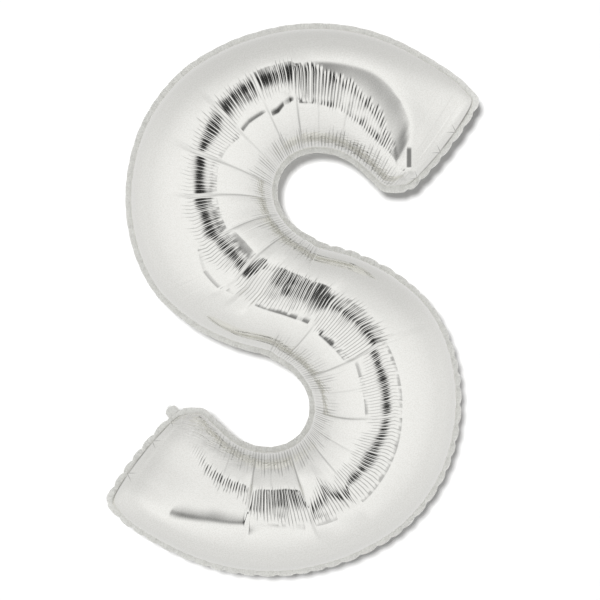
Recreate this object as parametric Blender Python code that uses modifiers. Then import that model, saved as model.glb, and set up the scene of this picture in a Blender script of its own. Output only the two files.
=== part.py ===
"""A letter balloon of metal-coated film, shaped as a capital S and blown up full.

Two sheets of film are cut to the letter's outline, laid on each other and welded along the border, and air turns
the stroke between the welds into a round tube. The letter stands upright in the XZ plane and its front faces -Y.
The origin is the balloon's centre. Lengths are in metres and angles in degrees.
"""

import math

import bmesh
import bpy
from mathutils import Matrix, Vector

# Driving dimensions
MM = 0.001
FILM_WALL = 0.0015  # stands in for film of about 0.03 mm
WELD_WIDTH = 0.009  # of the flat border outside the tube
WELD_LAP = 0.0022  # the border reaches this far in under the tube's rims
WELD_THICKNESS = 0.0012
CLEARANCE = 0.0003  # between pieces that touch
END_TAPER = 2.6  # sections over which the sealed ends' bow fades out
END_BOW = 0.009  # the sealed ends bulge outwards in their middle
END_ROUNDING = 0.007  # and their corners are drawn in
LOWER_DROP = 0.005  # the lower end hangs this much below the mirror image of the upper one
CORNER_SHIFT = 0.004  # and its outer corner stands out this much more, down and to the side

# The stroke's upper half, from the upper end to the middle of the letter. Each section runs from the rim of the
# upper bay to the letter's outer rim, and both ends are given about the centre of that bay.
BAY_CENTRE = Vector((0.051, 0.191))
# inner angle, inner radius in mm, outer angle, outer radius in mm
UPPER_SECTIONS = (
    (0, 158, 30.5, 344),
    (1.8, 117.5, 40, 334),
    (17, 94, 53, 321),
    (42, 81, 66, 317),
    (66, 77, 79, 316),
    (90, 77, 93, 317),
    (112, 79.5, 107, 321),
    (134, 82, 123, 331),
    (156, 82, 140, 346),
    (178, 80, 158, 356),
    (199, 77, 176, 360),
    (218, 74.5, 193, 361),
    (235, 74.5, 209, 357),
    (249, 76, 224, 341),
    (261, 79.5, 238, 324.5),
    (271.6, 87, 250.5, 313),
)
MIDDLE = len(UPPER_SECTIONS) - 1
LAST = 2 * MIDDLE

# Along the crest the film lies nearly flat between two soft folds, and falls away to the rims outside them.
# section, share of the half width at the left fold, at the right fold, and where the strip between them is highest
STRIP = (
    (0, -0.45, -0.72, -0.62),
    (1, -0.36, -0.66, -0.44),
    (1.6, 0.13, -0.57, 0.09),
    (2.6, 0.36, -0.53, 0.33),
    (4, 0.40, -0.40, 0.38),
    (5.6, 0.42, -0.27, 0.34),
    (6.7, 0.47, -0.29, 0.30),
    (8, 0.40, -0.22, 0.21),
    (9, 0.34, -0.13, 0.14),
    (10.5, 0.26, -0.18, 0.03),
    (12.4, 0.39, -0.39, -0.12),
    (14, 0.34, -0.44, -0.25),
    (16, 0.33, -0.40, -0.13),
    (17.5, 0.42, -0.33, -0.13),
    (19.5, 0.30, -0.27, -0.05),
    (21.5, 0.30, -0.31, 0.02),
    (23.1, 0.40, -0.38, 0.08),
    (24.3, 0.40, -0.24, 0.21),
    (25.7, 0.41, -0.22, 0.10),
    (26.1, 0.42, -0.25, -0.22),
    (27, 0.42, -0.37, -0.34),
    (28.1, 0.54, -0.59, -0.56),
    (30, 0.40, -0.62, -0.50),
)
STRIP_TILT = 15  # that the strip comes to at its folds
STRIP_FLATNESS = 0.2  # share of the half width over which it starts to tilt
FOLD_TILT = 17
SOFT_FOLD_TILT = 4  # of the right fold from section 24 on

# How high the crest stands over the letter's plane: section, height in mm
CREST_HEIGHTS = (
    (0, 104.5),
    (5.7, 104.5),
    (6.8, 106.5),
    (7.9, 111),
    (9, 117),
    (10, 121.3),
    (11.3, 123.5),
    (12.6, 121),
    (13.7, 110),
    (15, 108),
    (16.3, 109.5),
    (18.4, 122.5),
    (19.4, 124.4),
    (20.4, 122.5),
    (22.4, 115.5),
    (23.7, 108.5),
    (25.7, 104),
    (30, 104),
)

# The sealed ends are wedges that rise over some sections, steeply on one side and gently on the other.
# share of the half width, sections that the upper end's slope takes there, sections that the lower end's takes
END_SLOPES = (
    (-1, 2.0, 2.6),
    (-0.80, 1.1, 2.2),
    (-0.62, 0.6, 1.9),
    (-0.42, 1.0, 1.9),
    (-0.12, 1.3, 2.2),
    (0.10, 1.6, 2.4),
    (0.26, 2.0, 2.3),
    (0.34, 2.5, 2.2),
    (0.45, 2.9, 2.1),
    (1, 3.2, 2.2),
)
END_FOLD = 0.13
END_SAG = 0.053  # of the height for each section, beside the ends
UPPER_SAG_REACH = 5.8  # sections
LOWER_SAG_REACH = 5.2
LAST_PART_SAG = 0.35  # and this much more of it over the last sections
LAST_PART = 2.2

# Folds that run in from the crest to a bay's rim: section, depth in mm
FOLDS = (
    (5.67, 2.8),
    (6.67, 1.7),
    (9, 2.0),
    (10, 2.3),
    (11.33, 2.8),
    (12.67, 2.5),
    (16.33, 1.8),
    (18.33, 2.4),
    (20.33, 2.8),
    (22.33, 2.1),
    (23.67, 3.1),
    (25.67, 2.5),
)

# How finely the sheets are drawn
STEPS_PER_SECTION = 3
END_STEPS = (0, 0.05, 0.22, 0.55)  # closer together where a sealed end rises from its weld
STEPS_OUTSIDE = 5  # between each fold and its rim
STEPS_IN_STRIP = 6
STEPS_ACROSS = 2 * STEPS_OUTSIDE + STEPS_IN_STRIP
SKIRT = 0.002  # a sheet is drawn this far past the letter's plane, and then trimmed flat along its rim

# The weld's cut edge
SCALLOP_PITCH = 0.032
SCALLOP_POINTS = 4
SCALLOP_DEEP = 0.0035  # along the bottom, the lower right and both ends
SCALLOP_SHALLOW = 0.0008  # elsewhere
SEAM_POINTS_PER_SECTION = 4

# The filler neck, a flat tab outside the weld of the lower end, by its corner at the bay
TAIL_PLACE = 0.08  # along that end, from the corner at the bay
TAIL_WIDTH = 0.024
TAIL_LENGTH = 0.012
TAIL_THICKNESS = 0.0016
TAIL_ROUNDING = 0.0085
FILM_WIDTH = 0.012
FILM_LENGTH = 0.003
FILM_THICKNESS = 0.0006


def about_bay(angle, radius_mm):
    """The point in the letter's plane at this angle and radius about the upper bay's centre."""
    turn = math.radians(angle)
    return BAY_CENTRE + radius_mm * MM * Vector((math.cos(turn), math.sin(turn)))


def rim_knots():
    """The two rims' points at each section. Half a turn about the origin takes the upper half to the lower one."""
    bay_side = [about_bay(angle, radius) for angle, radius, _, _ in UPPER_SECTIONS]
    outer_side = [about_bay(angle, radius) for _, _, angle, radius in UPPER_SECTIONS]
    half_width = (outer_side[-1] - bay_side[-1]) / 2
    outer_side[-1], bay_side[-1] = half_width, -half_width
    left = outer_side + [-point for point in reversed(bay_side[:-1])]
    right = bay_side + [-point for point in reversed(outer_side[:-1])]
    for place in range(MIDDLE + 1, LAST + 1):
        drop = Vector((0, LOWER_DROP * smooth_step((place - MIDDLE) / MIDDLE)))
        left[place] = left[place] - drop
        right[place] = right[place] - drop - Vector((1, 1)) * CORNER_SHIFT * smooth_step((place - 26) / 3)
    return left, right


def smooth_step(share):
    share = min(max(share, 0), 1)
    return share * share * (3 - 2 * share)


def on_curve(knots, place):
    """A point of the smooth curve through the knots. A whole place is a knot, and the rest lie between."""
    first = min(int(place), len(knots) - 2)
    f = place - first
    before = knots[first - 1] if first > 0 else 2 * knots[0] - knots[1]
    after = knots[first + 2] if first + 2 < len(knots) else 2 * knots[-1] - knots[-2]
    start, end = knots[first], knots[first + 1]
    return 0.5 * (
        2 * start
        + (end - before) * f
        + (2 * before - 5 * start + 4 * end - after) * f**2
        + (3 * start - before - 3 * end + after) * f**3
    )


LEFT_RIM, RIGHT_RIM = rim_knots()


def section(place):
    """The section's middle, and the arrow from there to its left rim, in the letter's plane."""
    left, right = on_curve(LEFT_RIM, place), on_curve(RIGHT_RIM, place)
    return (left + right) / 2, (left - right) / 2


def from_end(place):
    return min(place, LAST - place)


def end_outwards(place):
    """The direction in which the nearer end faces, in the letter's plane."""
    _, arrow = section(0 if place < MIDDLE else LAST)
    across = arrow.normalized()
    facing = Vector((-across.y, across.x))
    return -facing if place < MIDDLE else facing


def in_plane(place, share, inset=0.0):
    """The point of a section at this share of its half width, from -1 at the right rim to 1 at the left one.

    The ends are bowed outwards, and inset draws all four sides of the stroke in.
    """
    middle, arrow = section(place)
    half = arrow.length
    point = middle + arrow * (share * (half - inset) / half)
    near_end = max(0.0, 1 - from_end(place) / END_TAPER)
    outwards = end_outwards(place)
    bow = END_BOW * (1 - share * share) - END_ROUNDING * share**14
    return point + outwards * (bow - inset) * near_end**2


def from_table(table, value, column):
    """The column's value between the two rows of a table whose first columns lie round this value."""
    if value <= table[0][0]:
        return table[0][column]
    for low, high in zip(table, table[1:]):
        if value <= high[0]:
            return low[column] + (high[column] - low[column]) * (value - low[0]) / (high[0] - low[0])
    return table[-1][column]


def fullness(place, share):
    """How far the tube is blown up: nothing at the sealed ends, and all of it past their slopes and the sag there."""
    upper = place < MIDDLE
    x = min(from_end(place) / from_table(END_SLOPES, share, 1 if upper else 2), 1)
    if upper:
        fold = END_FOLD * smooth_step((0.44 - share) / 0.14) * (0.5 + 0.5 * smooth_step((share + 0.1) / 0.3))
    else:
        fold = END_FOLD * 0.4 * smooth_step((-0.2 - share) / 0.2)
    from_sag = max(0, (UPPER_SAG_REACH if upper else LOWER_SAG_REACH) - from_end(place))
    blown = (1 - fold) * math.sqrt(1 - (1 - x) ** 2) + fold * x
    sag = from_sag**2 / (from_sag + 0.5) + LAST_PART_SAG * max(0, LAST_PART - from_end(place)) ** 2
    return blown * (1 - END_SAG * sag)


def folds(place, share):
    """How deep the folds are that run from the crest to the rim of the bay that the stroke turns about."""
    side = -share if place < MIDDLE else share
    depth = max(depth * max(0, 1 - STEPS_PER_SECTION * abs(place - where)) for where, depth in FOLDS)
    return depth * MM * smooth_step((side + 0.3) / 0.6) * smooth_step((1 - side) / 0.1)


def row_share(place, row):
    """The share of the half width at a row of the grid. Some rows follow the strip's two folds."""
    left, right = from_table(STRIP, place, 1), from_table(STRIP, place, 2)
    if row < STEPS_OUTSIDE:
        return right - (1 + right) * math.cos(math.radians(90 * row / STEPS_OUTSIDE))
    if row > STEPS_ACROSS - STEPS_OUTSIDE:
        return left + (1 - left) * math.cos(math.radians(90 * (STEPS_ACROSS - row) / STEPS_OUTSIDE))
    return right + (left - right) * (row - STEPS_OUTSIDE) / STEPS_IN_STRIP


def strip_drop(place, share):
    """How far the strip has come down from its highest line, for each metre of the half width."""
    rise = math.hypot(1, (share - from_table(STRIP, place, 3)) / STRIP_FLATNESS) - 1
    return math.radians(STRIP_TILT) * STRIP_FLATNESS * rise


def swell(place, share):
    """The sheet's height over the letter's plane."""
    half = section(place)[1].length - WELD_WIDTH
    left, right = from_table(STRIP, place, 1), from_table(STRIP, place, 2)
    line = min(max(share, right), left)
    height = from_table(CREST_HEIGHTS, place, 1) * MM - half * strip_drop(place, line)
    width = 1 - left if share > line else 1 + right
    outside = min(abs(share - line) / width, 1)
    softened = smooth_step((place - 23.7) / 0.3) if share < line else 0
    tilt = FOLD_TILT + (SOFT_FOLD_TILT - FOLD_TILT) * softened
    fold = math.tan(math.radians(tilt)) * width * half / height
    return height * math.sqrt(1 - outside**2) * (1 - fold * outside * (1 - outside)) * fullness(place, share)


def sheet_point(place, row, face):
    """A point of the front sheet (face -1) or the back one (face 1). Rows run from the right rim to the left one."""
    share = row_share(place, row)
    flat = in_plane(place, share, WELD_WIDTH)
    on_border = row in (0, STEPS_ACROSS) or from_end(place) == 0
    depth = -SKIRT if on_border else swell(place, share) - folds(place, share)
    return Vector((flat.x, face * depth, flat.y))


def places_along():
    """Where the sheets' cross lines lie, from the upper end to the lower one."""
    inner = [step / STEPS_PER_SECTION for step in range(STEPS_PER_SECTION, (LAST - 1) * STEPS_PER_SECTION + 1)]
    return [*END_STEPS, *inner, *(LAST - step for step in reversed(END_STEPS))]


def start_scene():
    for old in list(bpy.data.objects):
        bpy.data.objects.remove(old)
    collections = [bpy.data.collections.new(name) for name in ("letter_balloon", "cutters")]
    for collection in collections:
        bpy.context.scene.collection.children.link(collection)
    return collections


def finish(name, colour, metallic, roughness):
    material = bpy.data.materials.new(name)
    material.use_nodes = True
    shader = material.node_tree.nodes["Principled BSDF"]
    shader.inputs["Base Color"].default_value = (*colour, 1)
    shader.inputs["Metallic"].default_value = metallic
    shader.inputs["Roughness"].default_value = roughness
    return material


def add_object(collection, name, data, material):
    piece = bpy.data.objects.new(name, data)
    data.materials.append(material)
    collection.objects.link(piece)
    return piece


def trimmer(cutters, face):
    """A slab from a sheet's rims to past the other sheet's: the sheet is cut back to it, so that its rim lies flat."""
    bpy.ops.mesh.primitive_cube_add(size=1)
    slab = bpy.context.object
    slab.name = "trimmer"
    thickness = 5 * SKIRT
    rim = WELD_THICKNESS / 2 + CLEARANCE
    slab.data.transform(Matrix.Diagonal((2, thickness, 2, 1)))
    slab.data.transform(Matrix.Translation((0, face * (rim - thickness / 2), 0)))
    for holder in list(slab.users_collection):
        holder.objects.unlink(slab)
    cutters.objects.link(slab)
    slab.hide_render = True
    slab.display_type = "WIRE"
    return slab


def foil_sheet(collection, cutters, name, face, material):
    """One sheet: a flat grid whose points are moved onto the blown-up shape, with a wall that grows inwards."""
    places = places_along()
    shape = bmesh.new()
    bmesh.ops.create_grid(shape, x_segments=len(places) - 1, y_segments=STEPS_ACROSS, size=1)
    for vertex in shape.verts:
        column = round((vertex.co.x + 1) / 2 * (len(places) - 1))
        row = round((vertex.co.y + 1) / 2 * STEPS_ACROSS)
        vertex.co = sheet_point(places[column], row, face)
    bmesh.ops.recalc_face_normals(shape, faces=shape.faces)
    if sum(each.normal.y for each in shape.faces) * face < 0:
        bmesh.ops.reverse_faces(shape, faces=shape.faces)
    mesh = bpy.data.meshes.new(name)
    shape.to_mesh(mesh)
    shape.free()
    mesh.shade_smooth()
    piece = add_object(collection, name, mesh, material)
    wall = piece.modifiers.new("wall", "SOLIDIFY")
    wall.thickness = FILM_WALL
    wall.offset = -1
    trim = piece.modifiers.new("trim", "BOOLEAN")
    trim.operation = "DIFFERENCE"
    trim.object = trimmer(cutters, face)
    return piece


def rim_line(share, first, last, inset):
    """Points along the rim at this side of the stroke, from one section to another, without the last."""
    steps = abs(last - first) * SEAM_POINTS_PER_SECTION
    return [in_plane(first + (last - first) * step / steps, share, inset) for step in range(steps)]


def end_line(place, first_share, inset):
    """Points along a sealed end, from the rim at first_share to the other one, without the last."""
    turns = [math.pi * step / STEPS_ACROSS for step in range(STEPS_ACROSS)]
    return [in_plane(place, first_share * math.cos(turn), inset) for turn in turns]


def border_stretches(inset):
    """The line round the letter, drawn in by inset: down the left rim, across the lower end, up the right rim and
    across the upper end. Each stretch comes with the depth of its scallops."""
    return (
        (rim_line(1, 0, LAST, inset), SCALLOP_SHALLOW),
        (end_line(LAST, 1, inset), SCALLOP_DEEP),
        (rim_line(-1, LAST, MIDDLE, inset), SCALLOP_DEEP),
        (rim_line(-1, MIDDLE, 0, inset), SCALLOP_SHALLOW),
        (end_line(0, -1, inset), SCALLOP_DEEP),
    )


def scalloped(line, after, depth):
    """The line redrawn in small arcs, each between two notches. after is the first point past the line's end."""
    line = [*line, after]
    travelled = [0.0]
    for first, second in zip(line, line[1:]):
        travelled.append(travelled[-1] + (second - first).length)
    count = round(travelled[-1] / SCALLOP_PITCH) * SCALLOP_POINTS
    points, index = [], 0
    for step in range(count):
        goal = travelled[-1] * step / count
        while travelled[index + 1] < goal:
            index += 1
        along = (line[index + 1] - line[index]).normalized()
        inwards = Vector((-along.y, along.x))
        notch = depth * (1 - abs(math.sin(math.pi * step / SCALLOP_POINTS)))
        points.append(line[index] + along * (goal - travelled[index]) + inwards * notch)
    return points


def weld_outlines():
    """The weld's cut edge, and the hole in it that the tube fills."""
    stretches = border_stretches(0)
    cut = []
    for number, (line, depth) in enumerate(stretches):
        after = stretches[(number + 1) % len(stretches)][0][0]
        cut.extend(scalloped(line, after, depth))
    hole = [point for line, _ in border_stretches(WELD_WIDTH + WELD_LAP) for point in line]
    return cut, hole


def flat_curve(collection, name, outlines, thickness, material):
    """A flat piece in the letter's plane: one outline, and any others cut holes in it."""
    curve = bpy.data.curves.new(name, "CURVE")
    curve.dimensions = "2D"
    curve.fill_mode = "BOTH"
    curve.extrude = thickness / 2
    for outline in outlines:
        spline = curve.splines.new("POLY")
        spline.points.add(len(outline) - 1)
        for point, corner in zip(spline.points, outline):
            point.co = (corner.x, corner.y, 0, 1)
        spline.use_cyclic_u = True
    piece = add_object(collection, name, curve, material)
    piece.rotation_euler.x = math.radians(90)
    return piece


def tail_seat():
    """Where the tail meets the weld's cut edge, and the direction in which it points, square to that edge."""
    _, arrow = section(LAST)
    share, half = 1 - 2 * TAIL_PLACE, TAIL_WIDTH / 2 / arrow.length
    edge = [in_plane(LAST, share + side * half) for side in (-1, 1)]
    along = (edge[1] - edge[0]).normalized()
    outwards = Vector((-along.y, along.x))
    return in_plane(LAST, share) + outwards * CLEARANCE, outwards


def tab_outline(base, outwards, width, length, rounding):
    """A flat tab that stands on base and points outwards, with two rounded corners at its free end."""
    across = Vector((-outwards.y, outwards.x))
    corners = [base - across * width / 2, base + across * width / 2]
    for side in (1, -1):
        centre = base + outwards * (length - rounding) + across * side * (width / 2 - rounding)
        for quarter in range(5):
            turn = math.radians(quarter * 22.5)
            turn = turn if side == 1 else math.radians(90) - turn
            corners.append(centre + rounding * (across * side * math.cos(turn) + outwards * math.sin(turn)))
    return corners


def main():
    collection, cutters = start_scene()
    foil = finish("silver_film", (0.82, 0.82, 0.79), 1.0, 0.16)
    weld = finish("welded_film", (0.80, 0.80, 0.77), 1.0, 0.28)
    clear = finish("clear_film", (0.85, 0.86, 0.84), 0.0, 0.2)
    foil_sheet(collection, cutters, "front_foil", -1, foil)
    foil_sheet(collection, cutters, "back_foil", 1, foil)
    flat_curve(collection, "seal_band", weld_outlines(), WELD_THICKNESS, weld)
    base, outwards = tail_seat()
    tail = tab_outline(base, outwards, TAIL_WIDTH, TAIL_LENGTH, TAIL_ROUNDING)
    flat_curve(collection, "fill_tail", [tail], TAIL_THICKNESS, foil)
    mouth = base + outwards * (TAIL_LENGTH + CLEARANCE)
    film = tab_outline(mouth, outwards, FILM_WIDTH, FILM_LENGTH, FILM_LENGTH / 2)
    flat_curve(collection, "valve_film", [film], FILM_THICKNESS, clear)


main()
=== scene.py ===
# %% [markdown]
# # A letter balloon of silver film
# The balloon is a capital S of thin metal-coated film. Two sheets are cut to the letter's outline and
# welded along the border, and air turns the stroke between the welds into a fat tube. Film can't stretch,
# so where the tube turns round a bay of the letter it has too much length on the inner side. It gets rid of
# it in fine ridges along the crest, in sharp creases that run to the bay, and in puckers at the weld. A
# mirror finish shows every one of them.
#
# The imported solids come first. They fix where everything is, and the looks are modelled round them.

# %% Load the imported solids
import math

import bmesh
import bpy
import numpy as np
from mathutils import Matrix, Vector


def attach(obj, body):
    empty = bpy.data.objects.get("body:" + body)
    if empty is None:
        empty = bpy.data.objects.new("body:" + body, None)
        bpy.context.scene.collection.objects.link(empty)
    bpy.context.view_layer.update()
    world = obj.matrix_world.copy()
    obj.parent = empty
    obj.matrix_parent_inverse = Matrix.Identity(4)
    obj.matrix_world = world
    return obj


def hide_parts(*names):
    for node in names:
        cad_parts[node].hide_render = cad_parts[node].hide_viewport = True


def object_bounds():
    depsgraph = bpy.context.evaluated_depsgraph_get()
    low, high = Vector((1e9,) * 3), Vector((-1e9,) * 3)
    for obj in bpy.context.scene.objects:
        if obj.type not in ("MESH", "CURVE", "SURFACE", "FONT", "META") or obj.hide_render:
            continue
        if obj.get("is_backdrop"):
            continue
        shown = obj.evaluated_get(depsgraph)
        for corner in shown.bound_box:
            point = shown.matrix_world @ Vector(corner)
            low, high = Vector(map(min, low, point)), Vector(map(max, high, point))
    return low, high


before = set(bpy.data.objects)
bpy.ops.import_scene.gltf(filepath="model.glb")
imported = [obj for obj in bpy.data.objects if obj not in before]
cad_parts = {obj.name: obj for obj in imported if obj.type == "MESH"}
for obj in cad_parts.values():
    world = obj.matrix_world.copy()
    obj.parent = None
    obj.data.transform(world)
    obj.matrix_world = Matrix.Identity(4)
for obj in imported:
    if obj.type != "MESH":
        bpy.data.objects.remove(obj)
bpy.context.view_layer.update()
MM = 0.001
print("solids:", sorted(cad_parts))

# %% [markdown]
# ## The stroke
# The letter is a stroke of changing width. Sixteen sections describe its upper half, and half a turn about
# the origin gives the lower half. A section is a straight line from the rim on the bay's side to the outer
# rim, and both its ends are given as an angle and a radius about the upper bay's centre, so round stretches
# come out round. The CAD solids follow the same sections, and a place along the stroke is a section's
# number, with fractions between.

# %% The sections, and a smooth curve through their ends
BAY_CENTRE = np.array((0.051, 0.191))
# on the bay's side an angle and a radius in mm, and on the outer side an angle and a radius in mm
UPPER_SECTIONS = np.array((
    (0, 158, 30.5, 344),
    (1.8, 117.5, 40, 334),
    (17, 94, 53, 321),
    (42, 81, 66, 317),
    (66, 77, 79, 316),
    (90, 77, 93, 317),
    (112, 79.5, 107, 321),
    (134, 82, 123, 331),
    (156, 82, 140, 346),
    (178, 80, 158, 356),
    (199, 77, 176, 360),
    (218, 74.5, 193, 361),
    (235, 74.5, 209, 357),
    (249, 76, 224, 341),
    (261, 79.5, 238, 324.5),
    (271.6, 87, 250.5, 313),
))
MIDDLE = len(UPPER_SECTIONS) - 1
LAST = 2 * MIDDLE
# the lower half hangs a little lower than half a turn puts it, and its end's outer corner stands out further
LOWER_DROP = 0.005
CORNER_SHIFT = 0.004
CORNER_FROM = 26
CORNER_OVER = 3


def ease(x):
    x = np.clip(x, 0, 1)
    return x * x * (3 - 2 * x)


def about_bay(angle, radius):
    turn = np.radians(angle)
    return BAY_CENTRE + radius[:, None] * MM * np.stack((np.cos(turn), np.sin(turn)), 1)


def both_rims():
    bay_side = about_bay(UPPER_SECTIONS[:, 0], UPPER_SECTIONS[:, 1])
    outer_side = about_bay(UPPER_SECTIONS[:, 2], UPPER_SECTIONS[:, 3])
    half_width = (outer_side[-1] - bay_side[-1]) / 2
    outer_side[-1], bay_side[-1] = half_width, -half_width
    left = np.vstack((outer_side, -bay_side[-2::-1]))
    right = np.vstack((bay_side, -outer_side[-2::-1]))
    drop = LOWER_DROP * ease((np.arange(LAST + 1) - MIDDLE) / MIDDLE)
    left[:, 1] -= drop
    right[:, 1] -= drop
    right -= CORNER_SHIFT * ease((np.arange(LAST + 1) - CORNER_FROM) / CORNER_OVER)[:, None]
    return left, right


def on_curve(knots, place):
    """Points of the smooth curve through the knots. A whole place is a knot."""
    padded = np.vstack((2 * knots[0] - knots[1], knots, 2 * knots[-1] - knots[-2]))
    first = np.clip(np.floor(place).astype(int), 0, LAST - 1)
    f = (place - first)[..., None]
    before, start, end, after = (padded[first + step] for step in range(4))
    return 0.5 * (
        2 * start
        + (end - before) * f
        + (2 * before - 5 * start + 4 * end - after) * f**2
        + (3 * start - before - 3 * end + after) * f**3
    )


LEFT_RIM, RIGHT_RIM = both_rims()
print(LAST + 1, "sections, from", LEFT_RIM[0].round(3), "to", RIGHT_RIM[-1].round(3))

# %% [markdown]
# A point of the stroke is a place along it and a share across it: 1 at the left rim, 0 in the middle and -1
# at the right rim. Left and right are the reader's, where the stroke runs down the page, so the upper bay is
# to the stroke's right and the lower bay to its left. Place and share can be whole arrays, because every
# sheet here is a grid of some hundred thousand points that numpy moves in one go.

# %% From place and share to a point in the letter's plane
WELD_WIDTH = 0.009
# over the last places each end bows outwards in its middle, and its corners are rounded off
END_TAPER = 2.6
END_BOW = 0.009
END_ROUNDING = 0.007


def section(place):
    """The sections' middles, and the arrows from there to the left rim."""
    left, right = on_curve(LEFT_RIM, place), on_curve(RIGHT_RIM, place)
    return (left + right) / 2, (left - right) / 2


def half_width(place):
    return np.linalg.norm(section(place)[1], axis=-1)


def from_end(place):
    return np.minimum(place, LAST - place)


def end_facing(place, sign):
    """The direction in the letter's plane that an end of the stroke faces in."""
    across = (LEFT_RIM[place] - RIGHT_RIM[place]) / 2
    across = across / np.linalg.norm(across)
    return sign * np.array((-across[1], across[0]))


def in_plane(place, share, inset=0.0):
    """The point at a place and a share, on the letter drawn in by the inset on all sides."""
    middle, arrow = section(place)
    half = np.linalg.norm(arrow, axis=-1, keepdims=True)
    across = share[..., None]
    point = middle + arrow * (across * (half - inset) / half)
    near_end = np.maximum(0, 1 - from_end(place) / END_TAPER)[..., None] ** 2
    outwards = np.where((place < MIDDLE)[..., None], end_facing(0, -1), end_facing(LAST, 1))
    return point + outwards * (END_BOW * (1 - across**2) - END_ROUNDING * across**14 - inset) * near_end


# %% [markdown]
# Places are handy for tables, but ridges and folds have a real spacing. So the distance along the crest is
# measured once, at some thousand places, and read off wherever it is needed.

# %% How far along the crest each place is
CREST_STEPS = 3000
places = np.linspace(0, LAST, CREST_STEPS + 1)
crest_steps = np.linalg.norm(np.diff(in_plane(places, np.zeros_like(places)), axis=0), axis=1)
crest_length = np.concatenate(((0,), np.cumsum(crest_steps)))
print(f"the crest is {crest_length[-1]:.2f} m long")

# %% [markdown]
# ## How the film is pulled
# Along the crest runs a strip between two soft fold lines. Inside it the film lies nearly flat, facing the
# reader, and that is where the fine ridges are. Outside it the film falls away to the welds. Creases cut
# the strip into panels, and at a crease the lines jump. This table walks down the stroke from panel to
# panel.
#
# Most numbers of a row are shares. First come the two fold lines, the row where the film faces the reader
# exactly, and where the fine ridges end on the left and on the right. Flatness is how slowly the tilt grows
# away from the level row, and least is a tilt to start with. A ledge is a band beside a fold line where the
# film is nearly level again: its strength, from 0 to 1, and its width. The last number is the ridges'
# height, where 1 is the usual one.

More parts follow.
